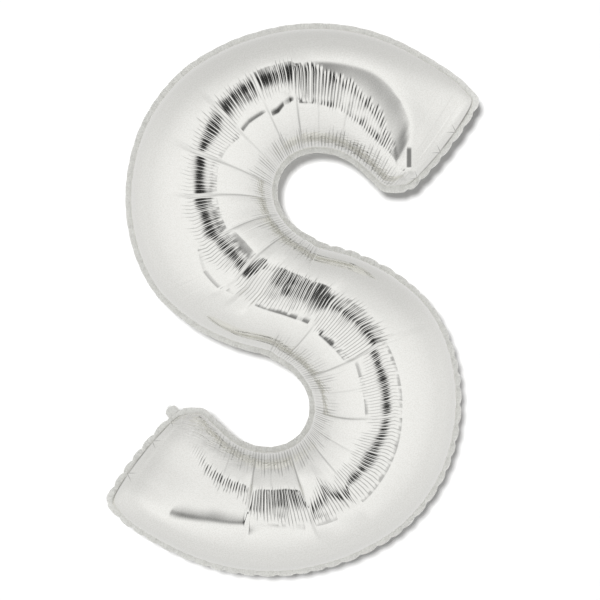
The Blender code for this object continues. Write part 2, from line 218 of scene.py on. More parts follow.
# %% The strip's panels
COLUMNS = (
    "place", "left", "right", "level", "ridges_left", "ridges_right", "flatness", "least",
    "left_ledge", "left_width", "right_ledge", "right_width", "ridge_height",
)
STRIP = np.array((
    (0, -0.45, -0.72, -0.62, -0.80, -0.80, 0.20, 0.60, 0, 0.04, 0.00, 0.10, 0.00),
    (0.55, -0.48, -0.72, -0.58, -0.80, -0.80, 0.20, 0.60, 0, 0.04, 0.00, 0.10, 0.00),
    (1, -0.30, -0.66, -0.38, -0.70, -0.70, 0.30, 0.45, 0, 0.04, 0.00, 0.10, 0.00),
    (1.15, -0.16, -0.62, -0.24, -0.60, -0.60, 0.50, 0.20, 0, 0.04, 0.00, 0.10, 0.00),
    (1.3, -0.03, -0.60, -0.14, -0.50, -0.60, 0.50, 0.10, 0, 0.04, 0.00, 0.10, 0.00),
    (1.6, 0.17, -0.57, 0.10, -0.42, -0.57, 0.45, 0.10, 0, 0.04, 0.20, 0.06, 0.30),
    (2, 0.32, -0.56, 0.25, -0.34, -0.55, 0.48, 0.06, 0, 0.04, 0.52, 0.10, 1.00),
    (2.6, 0.40, -0.53, 0.33, -0.12, -0.53, 0.50, 0.05, 0, 0.04, 0.53, 0.11, 1.30),
    (3.2, 0.46, -0.48, 0.39, 0.00, -0.48, 0.58, 0.06, 0, 0.04, 0.53, 0.11, 1.35),
    (3.9, 0.455, -0.40, 0.385, 0.14, -0.38, 0.70, 0.08, 0, 0.04, 0.52, 0.10, 1.40),
    (4.5, 0.45, -0.34, 0.38, 0.24, -0.30, 0.85, 0.08, 0, 0.04, 0.52, 0.10, 1.40),
    (5, 0.44, -0.31, 0.38, 0.32, -0.28, 0.85, 0.10, 0, 0.04, 0.53, 0.11, 1.40),
    (5.64, 0.42, -0.27, 0.38, 0.40, -0.20, 0.80, 0.20, 0, 0.04, 0.54, 0.12, 1.40),
    (5.76, 0.48, -0.21, 0.30, 0.46, -0.02, 0.34, 0.00, 0, 0.04, 0.62, 0.09, 0.80),
    (5.95, 0.48, -0.22, 0.30, 0.46, -0.02, 0.34, 0.00, 0, 0.04, 0.60, 0.09, 0.80),
    (6.2, 0.48, -0.25, 0.30, 0.47, 0.00, 0.24, 0.00, 0, 0.04, 0.50, 0.09, 1.50),
    (6.45, 0.48, -0.33, 0.30, 0.47, -0.02, 0.24, 0.00, 0, 0.04, 0.56, 0.12, 0.85),
    (6.72, 0.47, -0.34, 0.30, 0.47, -0.02, 0.24, 0.00, 0, 0.04, 0.56, 0.12, 0.90),
    (6.82, 0.46, -0.24, 0.27, 0.45, 0.02, 0.24, 0.00, 0, 0.04, 0.56, 0.08, 1.00),
    (7.5, 0.43, -0.23, 0.24, 0.42, 0.00, 0.22, 0.00, 0, 0.04, 0.55, 0.08, 0.90),
    (8.1, 0.40, -0.28, 0.17, 0.38, -0.24, 0.20, 0.00, 0, 0.04, 0.50, 0.10, 1.20),
    (8.5, 0.37, -0.22, 0.13, 0.35, -0.15, 0.13, 0.00, 0, 0.04, 0.40, 0.09, 0.90),
    (8.95, 0.34, -0.19, 0.12, 0.32, -0.12, 0.13, 0.00, 0, 0.04, 0.40, 0.09, 0.80),
    (9.07, 0.33, -0.19, 0.11, 0.31, -0.16, 0.13, 0.00, 0, 0.04, 0.40, 0.12, 0.60),
    (9.97, 0.27, -0.21, 0.03, 0.26, -0.18, 0.13, 0.00, 0, 0.04, 0.40, 0.12, 0.60),
    (10.09, 0.27, -0.21, 0.03, 0.26, -0.18, 0.15, 0.00, 0, 0.04, 0.40, 0.13, 0.80),
    (11.25, 0.24, -0.25, -0.03, 0.20, -0.20, 0.14, 0.00, 0, 0.04, 0.42, 0.13, 0.90),
    (11.42, 0.27, -0.34, -0.08, 0.22, -0.22, 0.12, 0.00, 0.5, 0.095, 0.42, 0.17, 1.30),
    (12, 0.37, -0.40, -0.13, 0.16, -0.24, 0.15, 0.00, 0.5, 0.095, 0.42, 0.17, 1.10),
    (12.6, 0.40, -0.41, -0.12, 0.06, -0.24, 0.17, 0.00, 0.5, 0.095, 0.42, 0.17, 0.85),
    (12.76, 0.36, -0.42, -0.12, 0.10, -0.38, 0.26, 0.00, 0.5, 0.095, 0.42, 0.20, 1.00),
    (13.08, 0.34, -0.43, -0.16, 0.28, -0.42, 0.28, 0.00, 0.43, 0.08, 0.42, 0.20, 1.00),
    (13.25, 0.34, -0.43, -0.26, 0.28, -0.43, 0.26, 0.30, 0.43, 0.08, 0.20, 0.15, 0.90),
    (13.62, 0.34, -0.44, -0.32, 0.28, -0.44, 0.28, 0.30, 0.43, 0.08, 0.00, 0.15, 1.00),
    (13.74, 0.34, -0.44, -0.28, 0.28, -0.44, 0.40, 0.00, 0.43, 0.08, 0.00, 0.05, 1.40),
    (14.2, 0.34, -0.44, -0.28, 0.26, -0.44, 0.45, 0.00, 0.45, 0.09, 0.00, 0.05, 1.40),
    (14.4, 0.34, -0.44, -0.26, 0.25, -0.44, 0.45, 0.00, 0.48, 0.09, 0.00, 0.05, 0.90),
    (14.8, 0.34, -0.44, -0.26, 0.24, -0.44, 0.45, 0.00, 0.48, 0.09, 0.00, 0.05, 0.95),
    (15.0, 0.34, -0.43, -0.26, 0.22, -0.43, 0.45, 0.00, 0.48, 0.09, 0.00, 0.05, 1.40),
    (15.5, 0.34, -0.42, -0.26, 0.16, -0.42, 0.45, 0.00, 0.48, 0.09, 0.00, 0.05, 1.40),
    (15.8, 0.33, -0.41, -0.20, 0.14, -0.41, 0.44, 0.00, 0.48, 0.09, 0.00, 0.05, 0.80),
    (16.08, 0.33, -0.40, -0.17, 0.12, -0.40, 0.42, 0.00, 0.48, 0.09, 0.00, 0.05, 0.75),
    (16.2, 0.33, -0.39, -0.14, 0.14, -0.38, 0.26, 0.00, 0.48, 0.09, 0.30, 0.10, 1.10),
    (16.4, 0.37, -0.38, -0.12, 0.34, -0.36, 0.20, 0.20, 0.50, 0.11, 0.28, 0.20, 1.25),
    (16.75, 0.40, -0.37, -0.12, 0.30, -0.35, 0.20, 0.10, 0.66, 0.13, 0.28, 0.20, 1.25),
    (17.45, 0.42, -0.36, -0.12, 0.32, -0.33, 0.20, 0.10, 0.66, 0.13, 0.28, 0.20, 1.25),
    (17.62, 0.42, -0.35, -0.12, 0.34, -0.32, 0.20, 0.10, 0.50, 0.11, 0.28, 0.20, 1.25),
    (17.8, 0.42, -0.34, -0.12, 0.30, -0.31, 0.18, 0.10, 0.62, 0.13, 0.28, 0.18, 1.25),
    (18.3, 0.40, -0.32, -0.10, 0.30, -0.28, 0.16, 0.10, 0.62, 0.13, 0.28, 0.16, 1.25),
    (18.42, 0.28, -0.27, -0.03, 0.14, -0.20, 0.11, 0.00, 0.43, 0.08, 0.48, 0.08, 0.90),
    (19.3, 0.31, -0.27, -0.03, 0.30, -0.20, 0.11, 0.00, 0.50, 0.10, 0.48, 0.08, 0.90),
    (20.3, 0.27, -0.27, -0.04, 0.20, -0.22, 0.10, 0.00, 0.48, 0.09, 0.43, 0.08, 0.85),
    (20.42, 0.26, -0.28, -0.04, 0.18, -0.24, 0.12, 0.10, 0.10, 0.04, 0.48, 0.09, 1.00),
    (21.2, 0.30, -0.31, 0.00, 0.26, -0.24, 0.14, 0.00, 0.10, 0.04, 0.50, 0.10, 1.15),
    (22.4, 0.32, -0.36, 0.03, 0.24, -0.25, 0.13, 0.10, 0.10, 0.04, 0.52, 0.11, 1.25),
    (22.56, 0.34, -0.37, -0.12, 0.20, -0.26, 0.18, 0.00, 0.10, 0.04, 0.42, 0.18, 1.10),
    (22.8, 0.36, -0.38, -0.06, 0.20, -0.26, 0.18, 0.00, 0.10, 0.04, 0.42, 0.20, 1.20),
    (23.1, 0.40, -0.39, 0.10, 0.38, -0.26, 0.22, 0.00, 0.10, 0.04, 0.42, 0.22, 1.40),
    (23.45, 0.36, -0.38, -0.03, 0.14, -0.28, 0.16, 0.00, 0.10, 0.04, 0.42, 0.22, 1.10),
    (23.7, 0.32, -0.36, -0.08, 0.04, -0.30, 0.16, 0.00, 0.10, 0.04, 0.42, 0.20, 1.00),
    (23.8, 0.32, -0.25, 0.18, 0.30, -0.20, 0.34, 0.00, 0.43, 0.08, 0.28, 0.07, 1.40),
    (24.3, 0.40, -0.24, 0.22, 0.38, -0.20, 0.34, 0.00, 0.50, 0.09, 0.28, 0.07, 1.40),
    (24.8, 0.41, -0.23, 0.20, 0.40, -0.14, 0.38, 0.00, 0.50, 0.09, 0.30, 0.07, 1.45),
    (25.3, 0.41, -0.22, 0.20, 0.40, -0.10, 0.38, 0.00, 0.50, 0.09, 0.30, 0.07, 1.45),
    (25.65, 0.41, -0.22, 0.20, 0.40, -0.05, 0.38, 0.00, 0.50, 0.09, 0.30, 0.07, 1.45),
    (25.8, 0.41, -0.26, -0.19, 0.38, 0.10, 0.30, 0.22, 0.52, 0.11, 0.00, 0.05, 1.00),
    (26.1, 0.44, -0.29, -0.22, 0.44, 0.22, 0.30, 0.20, 0.85, 0.15, 0.00, 0.05, 1.30),
    (27, 0.45, -0.385, -0.315, 0.45, 0.20, 0.30, 0.08, 0.85, 0.15, 0.00, 0.05, 1.30),
    (27.5, 0.46, -0.48, -0.41, 0.46, 0.28, 0.30, 0.14, 0.75, 0.15, 0.00, 0.05, 1.20),
    (28.1, 0.54, -0.61, -0.51, 0.54, 0.42, 0.32, 0.25, 0.65, 0.14, 0.00, 0.05, 1.00),
    (28.7, 0.52, -0.64, -0.57, 0.54, 0.50, 0.35, 0.40, 0, 0.10, 0.00, 0.05, 0.00),
    (30, 0.40, -0.62, -0.52, 0.50, 0.50, 0.50, 0.60, 0, 0.10, 0.00, 0.05, 0.00),
))
# place, share over which the left fold line is rounded there, share for the right one
ROUNDED = np.array((
    (0, 0.08, 0),
    (5.0, 0.08, 0),
    (5.6, 0, 0),
    (25.7, 0, 0),
    (25.8, 0, 0.09),
    (27.5, 0, 0.09),
    (28.1, 0, 0.12),
    (LAST, 0, 0.12),
))

# %% [markdown]
# The crest isn't equally high everywhere. Each panel lies nearly level along the stroke, and the creases
# between the panels take up the steps. Towards the ends of the letter it slopes down by a few degrees,
# which turns the dark of the lobes there into grey.

# %% The height of the crest
# place, height of the crest over the letter's plane in mm
CREST_HEIGHTS = np.array((
    (0, 85.0),
    (0.8, 85.0),
    (1.2, 88.4),
    (1.45, 90.4),
    (1.8, 93.3),
    (2.2, 95.4),
    (2.8, 98.0),
    (3.2, 99.3),
    (4.4, 102.2),
    (5.5, 104.5),
    (5.76, 104.5),
    (6.70, 105.8),
    (6.84, 108.0),
    (7.85, 109.6),
    (7.98, 113.0),
    (8.93, 115.0),
    (9.08, 119.0),
    (9.97, 120.0),
    (10.10, 122.5),
    (11.25, 123.5),
    (11.42, 123.5),
    (12.66, 121.5),
    (12.78, 118.5),
    (13.12, 117.5),
    (13.30, 115.5),
    (13.68, 110.0),
    (14.30, 108.6),
    (15.10, 108.0),
    (16.20, 109.0),
    (16.42, 111.0),
    (16.75, 113.0),
    (18.27, 118.6),
    (18.44, 122.6),
    (19.40, 124.0),
    (20.28, 124.0),
    (20.44, 122.5),
    (22.38, 116.7),
    (22.52, 116.2),
    (23.66, 108.6),
    (23.84, 107.0),
    (25.65, 104.0),
    (25.80, 104.0),
    (28.50, 100.6),
    (LAST, 100.6),
))
print("the crest is", CREST_HEIGHTS[:, 1].min(), "to", CREST_HEIGHTS[:, 1].max(), "mm high")

# %% [markdown]
# Read out at every column of the grid, the tables give sharp jumps at the creases. That is right inside the
# strip, but the sides of the tube and the smooth lobes at the letter's ends need softer ones, so a table
# can be smoothed.

# %% Reading the tables
LINES_SOFTENED = 60
LOBES_SOFTENED = 24
UPPER_LOBE_TO = 5.3
LOWER_LOBE_FROM = 26.4
LOBE_BLEND = 0.4


def softened(table, width=LINES_SOFTENED):
    """The same table with its jumps rounded off over some columns of the grid."""
    window = np.hanning(width * 2 + 1)
    window = window / window.sum()
    padded = {name: np.pad(values, width, "edge") for name, values in table.items()}
    return {name: np.convolve(values, window, "valid") for name, values in padded.items()}


def panel_table(place):
    """The strip's table and the crest's heights at every column of the grid."""
    table = {name: np.interp(place, STRIP[:, 0], values) for name, values in zip(COLUMNS, STRIP.T)}
    table["crest"] = np.interp(place, CREST_HEIGHTS[:, 0], CREST_HEIGHTS[:, 1]) * MM
    table["left_rounded"] = np.interp(place, ROUNDED[:, 0], ROUNDED[:, 1])
    table["right_rounded"] = np.interp(place, ROUNDED[:, 0], ROUNDED[:, 2])
    in_lobe = ease((UPPER_LOBE_TO - place) / LOBE_BLEND) + ease((place - LOWER_LOBE_FROM) / LOBE_BLEND)
    soft = softened(table, LOBES_SOFTENED)
    return {name: values + (soft[name] - values) * in_lobe for name, values in table.items()}


# %% [markdown]
# Real creases are straight lines to the bay's centre, and the sections aren't quite, so the film's own
# lines lean across them. The next table gives each crease's place at the crest, how far it has wandered
# when it reaches the rim of its bay, and how deep its fold is.

# %% The creases
# place at the crest, places that it gains on its way to the bay's rim, depth in mm
CREASES = np.array((
    (3.85, 0.10, 1.2),
    (4.9, 0.20, 1.0),
    (5.70, 0.30, 4.0),
    (6.77, 0.10, 2.4),
    (7.9, -0.05, 1.2),
    (9.01, -0.25, 2.8),
    (10.03, -0.50, 3.2),
    (11.34, -0.85, 4.0),
    (12.75, -0.75, 3.6),
    (16.33, 0.50, 2.6),
    (18.36, 0.65, 3.4),
    (19.4, 0.70, 1.0),
    (20.36, 0.80, 4.0),
    (21.5, 0.45, 1.4),
    (22.45, 0.05, 3.0),
    (23.75, -0.05, 4.4),
    (24.9, -0.08, 1.0),
    (25.72, -0.15, 3.6),
    (27.0, -0.20, 1.4),
))
print(len(CREASES), "creases, on", len(STRIP), "rows of the strip")

# %% [markdown]
# ## The height of one sheet
# The sheet is a grid. Its rows follow the fold lines, so that a fold never cuts across faces, and its
# columns follow the ridges, so that each sharp valley between two ridges falls on a column.

# %% The grid's rows and columns
RIDGE_PITCH = 6.0 * MM
COLUMNS_PER_RIDGE = 6
ROWS_OUTSIDE = 17
ROWS_IN_STRIP = 23


def ridge_places():
    """The place at the crest of every column: a whole number of columns to each ridge."""
    ridges = round(crest_length[-1] / RIDGE_PITCH)
    columns = ridges * COLUMNS_PER_RIDGE
    return np.interp(np.linspace(0, crest_length[-1], columns + 1), crest_length, places), ridges


def row_shares(left, right):
    """The share of every row at every column: rows follow both fold lines."""
    outer = np.sin(np.radians(np.linspace(90, 0, ROWS_OUTSIDE, endpoint=False)))[:, None]
    inside = np.linspace(0, 1, ROWS_IN_STRIP)[:, None]
    return np.vstack((
        left + (1 - left) * outer,
        left + (right - left) * inside,
        (right - (1 + right) * outer)[::-1],
    ))


print(ridge_places()[1], "ridges along the crest")

# %% [markdown]
# At each end of the letter the tube slopes down to a straight seal. How long that slope is differs across
# the stroke, so its length is a table over the share. A trace of a straight fold is blended into its round
# back, and the whole tube sags a little towards its ends.

# %% The slopes to the end seals
# share, length of the upper end's slope there in places, length of the lower end's
END_SLOPES = np.array((
    (-1.0, 2.0, 2.6),
    (-0.80, 1.1, 2.2),
    (-0.62, 0.6, 1.9),
    (-0.42, 1.0, 1.9),
    (-0.12, 1.3, 2.2),
    (0.10, 1.65, 2.4),
    (0.26, 2.15, 2.3),
    (0.34, 2.5, 2.2),
    (0.45, 2.9, 2.1),
    (1.0, 3.2, 2.2),
))
END_FOLD = 0.13
END_SAG = 0.053
LAST_SAG = 0.35
LAST_SAG_REACH = 2.2
UPPER_SAG_REACH = 5.8
LOWER_SAG_REACH = 5.2


def fullness(place, share):
    """How far the tube is blown up: nothing at the sealed ends, and all of it past their slopes."""
    upper = place < MIDDLE
    upper_slope, lower_slope = (np.interp(share, END_SLOPES[:, 0], END_SLOPES[:, end]) for end in (1, 2))
    x = np.minimum(from_end(place) / np.where(upper, upper_slope, lower_slope), 1)
    upper_fold = ease((0.44 - share) / 0.14) * (0.5 + 0.5 * ease((share + 0.1) / 0.3))
    fold = END_FOLD * np.where(upper, upper_fold, 0.4 * ease((-0.2 - share) / 0.2))
    blown = (1 - fold) * np.sqrt(1 - (1 - x) ** 2) + fold * x
    from_sag = np.maximum(0, np.where(upper, UPPER_SAG_REACH, LOWER_SAG_REACH) - from_end(place))
    last_part = np.maximum(0, LAST_SAG_REACH - from_end(place))
    return blown * (1 - END_SAG * (from_sag**2 / (from_sag + 0.5) + LAST_SAG * last_part**2))


# %% [markdown]
# Slopes, and not heights, are what a mirror shows: where the film faces the reader within a few degrees it
# mirrors the dark behind the camera, and all the rest of it mirrors white walls. So the strip is built from
# its tilt. From the level row the tilt grows to a few degrees each way, and a ledge takes some of it away
# beside a fold line. At the upper end a smooth lobe meets the ridges in a soft foot, where the film is
# level again.

# %% The strip's tilt
STRIP_TILT = math.radians(15)
LEDGE_EDGE = 0.04
# place, share: where the smooth lobe at the upper end meets the ridges below it
LOBE_FOOT = np.array((
    (1.6, -0.41),
    (2.0, -0.39),
    (2.6, -0.18),
    (3.2, -0.06),
    (3.9, 0.10),
    (4.6, 0.22),
    (5.5, 0.36),
))
FOOT_HALF = 0.05
FOOT_LEVELS = 0.75


def kept_tilt(place, share, table):
    """How much of the strip's tilt the ledges and the lobe's foot leave."""
    kept = np.ones_like(share)
    for side, line in ((1, "left"), (-1, "right")):
        inwards = side * (table[line] - share)
        on_ledge = 1 - ease((inwards - table[line + "_width"]) / LEDGE_EDGE + 0.5)
        kept = kept * (1 - on_ledge * table[line + "_ledge"] * (side * (share - table["level"]) > 0))
    gap = (share - np.interp(place, LOBE_FOOT[:, 0], LOBE_FOOT[:, 1]) + 0.03) / FOOT_HALF
    foot = np.exp(-(gap**2)) * ease((place - 1.7) / 0.4) * ease((5.6 - place) / 0.3)
    return kept * (1 - FOOT_LEVELS * foot)


# %% [markdown]
# The film leaves the strip at a fold line with a tilt of its own, so that the fold shows. Beside the lobes
# it is a gentler one.

# %% The tilt at the fold lines
FOLD_TILT = math.radians(17)
FOLD_EASED = math.radians(9)
LEFT_EASED_TO = 5.5
RIGHT_EASED_FROM = 23.7


def fold_tilts(place):
    """The tilt with which the film leaves the strip on its left and on its right."""
    left_eased = ease((LEFT_EASED_TO - place) / 0.5)
    right_eased = ease((place - RIGHT_EASED_FROM) / 0.3)
    return FOLD_TILT - FOLD_EASED * left_eased, FOLD_TILT - FOLD_EASED * right_eased


# %% [markdown]
# Now the tilts are added up to heights across each section, and the strip's top is set to the crest's
# height. What is left on each side is a quarter of an ellipse that starts with the fold's tilt and ends
# upright at the weld.

# %% The swell of the tube


def swell(place, share, table):
    """The height of the sheet at rows that run from the left rim to the right one."""
    half = half_width(place) - WELD_WIDTH
    left, right, level, flatness = table["left"], table["right"], table["level"], table["flatness"]
    middle = (share[1:] + share[:-1]) / 2
    inside = (middle < left) & (middle > right)
    rise = np.sqrt(1 + (np.abs(share - level) / flatness + table["least"]) ** 2) * flatness
    gains = STRIP_TILT * (rise[:-1] - rise[1:]) * kept_tilt(place, middle, table)
    folds = []
    for side, name, tilt in zip((1, -1), ("left", "right"), fold_tilts(place)):
        line = table[name]
        bend = 1 - ease(side * (line - middle) / np.maximum(table[name + "_rounded"], 0.001))
        gains = gains * (1 - bend) + side * np.tan(tilt) * (share[:-1] - share[1:]) * bend
        folds.append((side, line, tilt))
    strip = np.vstack((np.zeros_like(gains[:1]), np.cumsum(gains * half * inside, axis=0)))
    out = table["crest"] + strip - strip.max(axis=0)
    for (side, line, tilt), edge in zip(folds, (out[0], out[-1])):
        u = np.clip((side * share - side * line) / (1 - side * line), 0, 1)
        fold = np.tan(tilt) * (1 - side * line) * half / edge
        out = out * np.sqrt(1 - u**2) * (1 - fold * u * (1 - u))
    return out * fullness(place, share)


def tube(place, share, table):
    """The swell with all its jumps inside the strip, and with soft ones outside of it."""
    sharp, soft = swell(place, share, table), swell(place, share, softened(table))
    outside = np.maximum(share - table["left"], table["right"] - share)
    return soft + (sharp - soft) * (1 - ease(outside / 0.25))


# %% [markdown]
# ## Ridges along the crest
# The ridges are rows of small round backs with sharp valleys between them, about six millimetres apart.
# They could be a bump pattern, but then their dark strokes would be flat paint from the side. Every ridge
# gets its own height and its own length from a seeded generator, so that they look pulled and not machined.
# The function gives heights, and painted shade for the sharp valleys, which mirror little that is bright.

# %% Ridges
RIDGE_HEIGHT = 0.46 * MM
RIDGE_SPREAD = (0.6, 1.25)
RIDGE_ENDS_SPREAD = 0.05
VALLEY_SPREAD = 0.14


def ridges(place, share, table, rng, count):
    phase = np.arange(place.size) / COLUMNS_PER_RIDGE
    number = np.minimum(phase.astype(int), count - 1)
    f = phase - number
    each = rng.uniform(*RIDGE_SPREAD, count)[number]
    ends = rng.uniform(-RIDGE_ENDS_SPREAD, RIDGE_ENDS_SPREAD, (2, count))[:, number]
    depths = rng.normal(0, VALLEY_SPREAD, count + 1)
    valley_depth_and_shade = np.interp(phase, np.arange(count + 1), depths) * MM
    left, right = table["ridges_left"] + ends[0], table["ridges_right"] + ends[1]
    window = ease((left + 0.03 - share) / 0.08) * ease((share - right + 0.03) / 0.08)
    window = window * table["ridge_height"]
    # below the upper lobe the ridges come in two rows, with calm film between them
    calm = (share - 0.55 * right - 0.45 * left) / (0.28 * np.maximum(left - right, 0.1))
    calm = np.exp(-(calm**2)) * ease((place - 2) / 0.5) * ease((4.6 - place) / 0.6)
    window = window * (1 - 0.8 * calm)
    flat_back = 2 + 2 * ease((table["ridge_height"] - 0.9) / 0.4)
    back = 1 - np.abs(2 * f - 1) ** flat_back
    # the second value is painted shade in the sharp valleys between ridges
    return (each * RIDGE_HEIGHT * back + valley_depth_and_shade) * window, window * (1 - 4 * f * (1 - f)) ** 3


# %% [markdown]
# Under the ridges the strip isn't even: broad, shallow waves gather the ridges' dark strokes in blocks.
# They come from soft noise, which is a small table of random values with smooth steps between them.

# %% Soft noise, and the strip's waves
WAVE_HEIGHT = 0.35 * MM
WAVE_ALONG = 0.017
WAVE_ACROSS = 0.14


def soft_noise(across, down, rng, lows):
    """Smooth random values from -1 to 1, with whole numbers of across and down as knots."""
    values = rng.uniform(-1, 1, lows)
    i, j = np.floor(across).astype(int), np.floor(down).astype(int)
    f, g = ease(across - i), ease(down - j)
    i, j = i % lows[0], j % lows[1]
    k, m = (i + 1) % lows[0], (j + 1) % lows[1]
    top = values[i, j] * (1 - f) + values[k, j] * f
    low = values[i, m] * (1 - f) + values[k, m] * f
    return top * (1 - g) + low * g


def undulation(place, share, table, rng):
    """Broad waves of the strip."""
    crest = np.interp(place, places, crest_length)
    left, right = table["ridges_left"] + 0.02, table["ridges_right"] - 0.02
    window = ease((left - share) / 0.12) * ease((share - right) / 0.12)
    wave = soft_noise(crest / WAVE_ALONG + 0 * share, share / WAVE_ACROSS + 20, rng, (97, 41))
    return WAVE_HEIGHT * wave * window


# %% [markdown]
# ## What happens towards a bay
# The upper bay lies to the stroke's right and the lower one to its left, and most folds grow towards them.
# So every point also knows how far it is on its way to its bay.

# %% The way to the bay
MIDDLE_SOFTENED = 60


def bay_side(place):
    return np.where(place < MIDDLE, -1, 1)


def towards_its_bay(place, share):
    """0 at the middle of the strip, 1 at the rim of the bay and below 0 on the outer side."""
    left, right = (np.interp(place, STRIP[:, 0], STRIP[:, column]) for column in (1, 2))
    middle = softened({"middle": (left + right) / 2}, MIDDLE_SOFTENED)["middle"]
    return bay_side(place) * (share - middle) / (1 - bay_side(place) * middle)


# %% [markdown]
# Where the film is welded round a bay it has far too much length, and gathers in short puckers that point
# to the bay's centre, with painted shade in their valleys. A faint raised line shows where they begin.

# %% Puckers at the weld
PUCKER_RIDGES = 1.5
PUCKER_HEIGHT = 0.35 * MM
PUCKERS_START = 0.66
LINE_HEIGHT = 0.5 * MM
# place, and how dark the painted shade in the puckers' valleys is there
PUCKER_PAINTED_SHADE = (
    (0, 1, 3.2, 7, 9, 14, 18, 22, 27, 28.5),
    (0.3, 0.7, 0.8, 0.8, 0.6, 0.5, 0.6, 0.75, 0.7, 0),
)


def puckers(place, share, rng, count):
    """Short gathers where the film is welded round a bay, the line where they begin, and painted shade in
    their valleys.
    """
    inner = bay_side(place) * share
    phase = np.arange(place.size) / (COLUMNS_PER_RIDGE * PUCKER_RIDGES)
    number = np.minimum(phase.astype(int), count - 1)
    f = phase - number
    each = rng.uniform(0.2, 1.2, count)[number]
    start = PUCKERS_START + rng.uniform(-0.09, 0.12, count)[number]
    window = ease((inner - start) / 0.06) * ease((0.985 - inner) / 0.04)
    ends = ease(from_end(place) / 1.5)
    line = np.exp(-(((inner - PUCKERS_START) / 0.018) ** 2)) * LINE_HEIGHT
    # painted shade in the puckers' valleys
    valley_depth_and_shade = (1 - 4 * f * (1 - f)) ** 1.2 * window * np.minimum(each, 1)
    valley_depth_and_shade = valley_depth_and_shade * np.interp(place, *PUCKER_PAINTED_SHADE)
    return (each * PUCKER_HEIGHT * 4 * f * (1 - f) * window + line) * ends, valley_depth_and_shade * ends


# %% [markdown]
# Between the strip and the bay's rim the film is also crumpled a little, with painted shade where it dips.
# Two noises do it, one stretched along the stroke and one across it. A table says where it is strong and how
# far it slants.

# %% Wrinkles near the bays
WRINKLE_HEIGHTS = (0.3 * MM, 0.15 * MM)
# how strong the painted shade of the wrinkles is
WRINKLES_PAINTED_SHADE = 0.15
# how far apart a noise's values are along the stroke and across it, in metres
LONG_WRINKLES = (0.045, 0.006)
SHORT_WRINKLES = (0.009, 0.02)
# place, how strong the wrinkles near the bay's rim are there, how far they slant
WRINKLES = np.array((
    (0.0, 1.0, 0.0),
    (1.0, 1.0, 0.1),
    (2.6, 0.9, 0.5),
    (6.0, 0.7, 1.0),
    (8.0, 0.3, 0.3),
    (14.0, 0.4, 0.0),
    (17.0, 0.5, -0.6),
    (22.0, 0.35, -0.6),
    (25.4, 0.4, 0.0),
    (26.0, 1.0, 0.8),
    (28.2, 1.0, 0.8),
    (28.8, 1.0, -0.4),
    (30.0, 0.6, -0.4),
))


def wrinkles(place, share, rng):
    """Fine crossed wrinkles between the strip and the bay's rim, and painted shade where they dip."""
    inner = bay_side(place) * share
    crest = np.interp(place, places, crest_length)
    strength, slant = (np.interp(place, WRINKLES[:, 0], WRINKLES[:, column]) for column in (1, 2))
    lean = inner * half_width(place) * (1 + 0 * share)
    slanted = lean + slant * (crest % 1.0) * 0.5
    long = soft_noise(crest / LONG_WRINKLES[0] + 0 * share, slanted / LONG_WRINKLES[1] + 60, rng, (83, 211))
    turned = crest + 0.7 * lean
    short = soft_noise(turned / SHORT_WRINKLES[0], lean / SHORT_WRINKLES[1] + 30, rng, (211, 61))
    window = ease((inner - 0.52) / 0.2) * ease((0.99 - inner) / 0.03)
    # painted shade where the noises dip
    painted_shade = ease((-0.65 * long - 0.45 * short - 0.12) / 0.4) * window * strength
    height = WRINKLE_HEIGHTS[0] * long + WRINKLE_HEIGHTS[1] * short
    return height * strength * window, WRINKLES_PAINTED_SHADE * painted_shade


# %% [markdown]
# Creases cross the whole strip and run on to the bay, where they are deepest. Each is a wide, soft trough
# with a narrow one in it, and a line of painted shade on its floor. They follow the film's own lines, which
# lean across the sections by what the table of creases says.

# %% Creases, and the way they lean
CREASE_REACH = 28 * MM
PINCH_REACH = 6 * MM
CREASE_LINE = 3 * MM
FULL_CREASE = 2


def creases(place, share):
    """Folds across the strip that deepen and widen towards the bay, and painted shade lines on their floors.
    """
    crest = np.interp(place, places, crest_length)
    total, painted_shade = np.zeros_like(share), np.zeros_like(share)
    towards_bay = towards_its_bay(place, share)
    reach = CREASE_REACH * (0.3 + 0.7 * ease(towards_bay / 0.7))
    along = (0.3 + 0.7 * ease((towards_bay - 0.1) / 0.5)) * (1 - 0.6 * ease((towards_bay - 0.7) / 0.3))
    along = along * ease((towards_bay + 0.45) / 0.3)
    for where, _, depth in CREASES:
        gap = np.abs(crest - np.interp(where, places, crest_length))
        wide = 0.55 * np.maximum(0, 1 - gap / reach) ** 2
        narrow = 0.25 * np.maximum(0, 1 - gap / PINCH_REACH) ** 2
        reached = along if depth >= FULL_CREASE else along * ease(towards_bay / 0.25)
        total = total - depth * MM * (wide + narrow) * reached
        # a line of painted shade on the crease's floor
        line = np.maximum(0, 1 - gap / CREASE_LINE) * reached * min(depth / 6, 0.6)
        painted_shade = np.maximum(painted_shade, line)
    return total, painted_shade * ease(towards_bay / 0.3)


def leaning(place, share):
    """The places of the film's own lines: they wander on their way to the bay."""
    knots = np.concatenate(((0, 2), CREASES[:, 0], (28.6, LAST)))
    gains = np.concatenate(((0, 0), CREASES[:, 1], (0, 0)))
    return place + np.interp(place, knots, gains) * np.maximum(towards_its_bay(place, share), -0.15)


# %% [markdown]
# ## The sealed ends
# An end seal is welded straight while the tube is flat. Blown up, the film beside it stands in a few plump
# pillows, with a pinched knot between each two and a seam line of painted shade close to the weld.

# %% Pillows and knots
# share of every knot between two pillows along the end seals
UPPER_KNOTS = (-1.0, -0.74, -0.12, 0.34, 1.0)
LOWER_KNOTS = (-1.0, -0.41, 0.30, 0.78, 1.0)
PILLOW_LENGTH = 0.026
PILLOW_HEIGHT = 3.2 * MM
KNOT_HALF = 2.5 * MM
KNOT_DEPTH = 0.5 * MM
SEAM_PLACE = 2.5 * MM
SEAM_WIDTH = 1.2 * MM


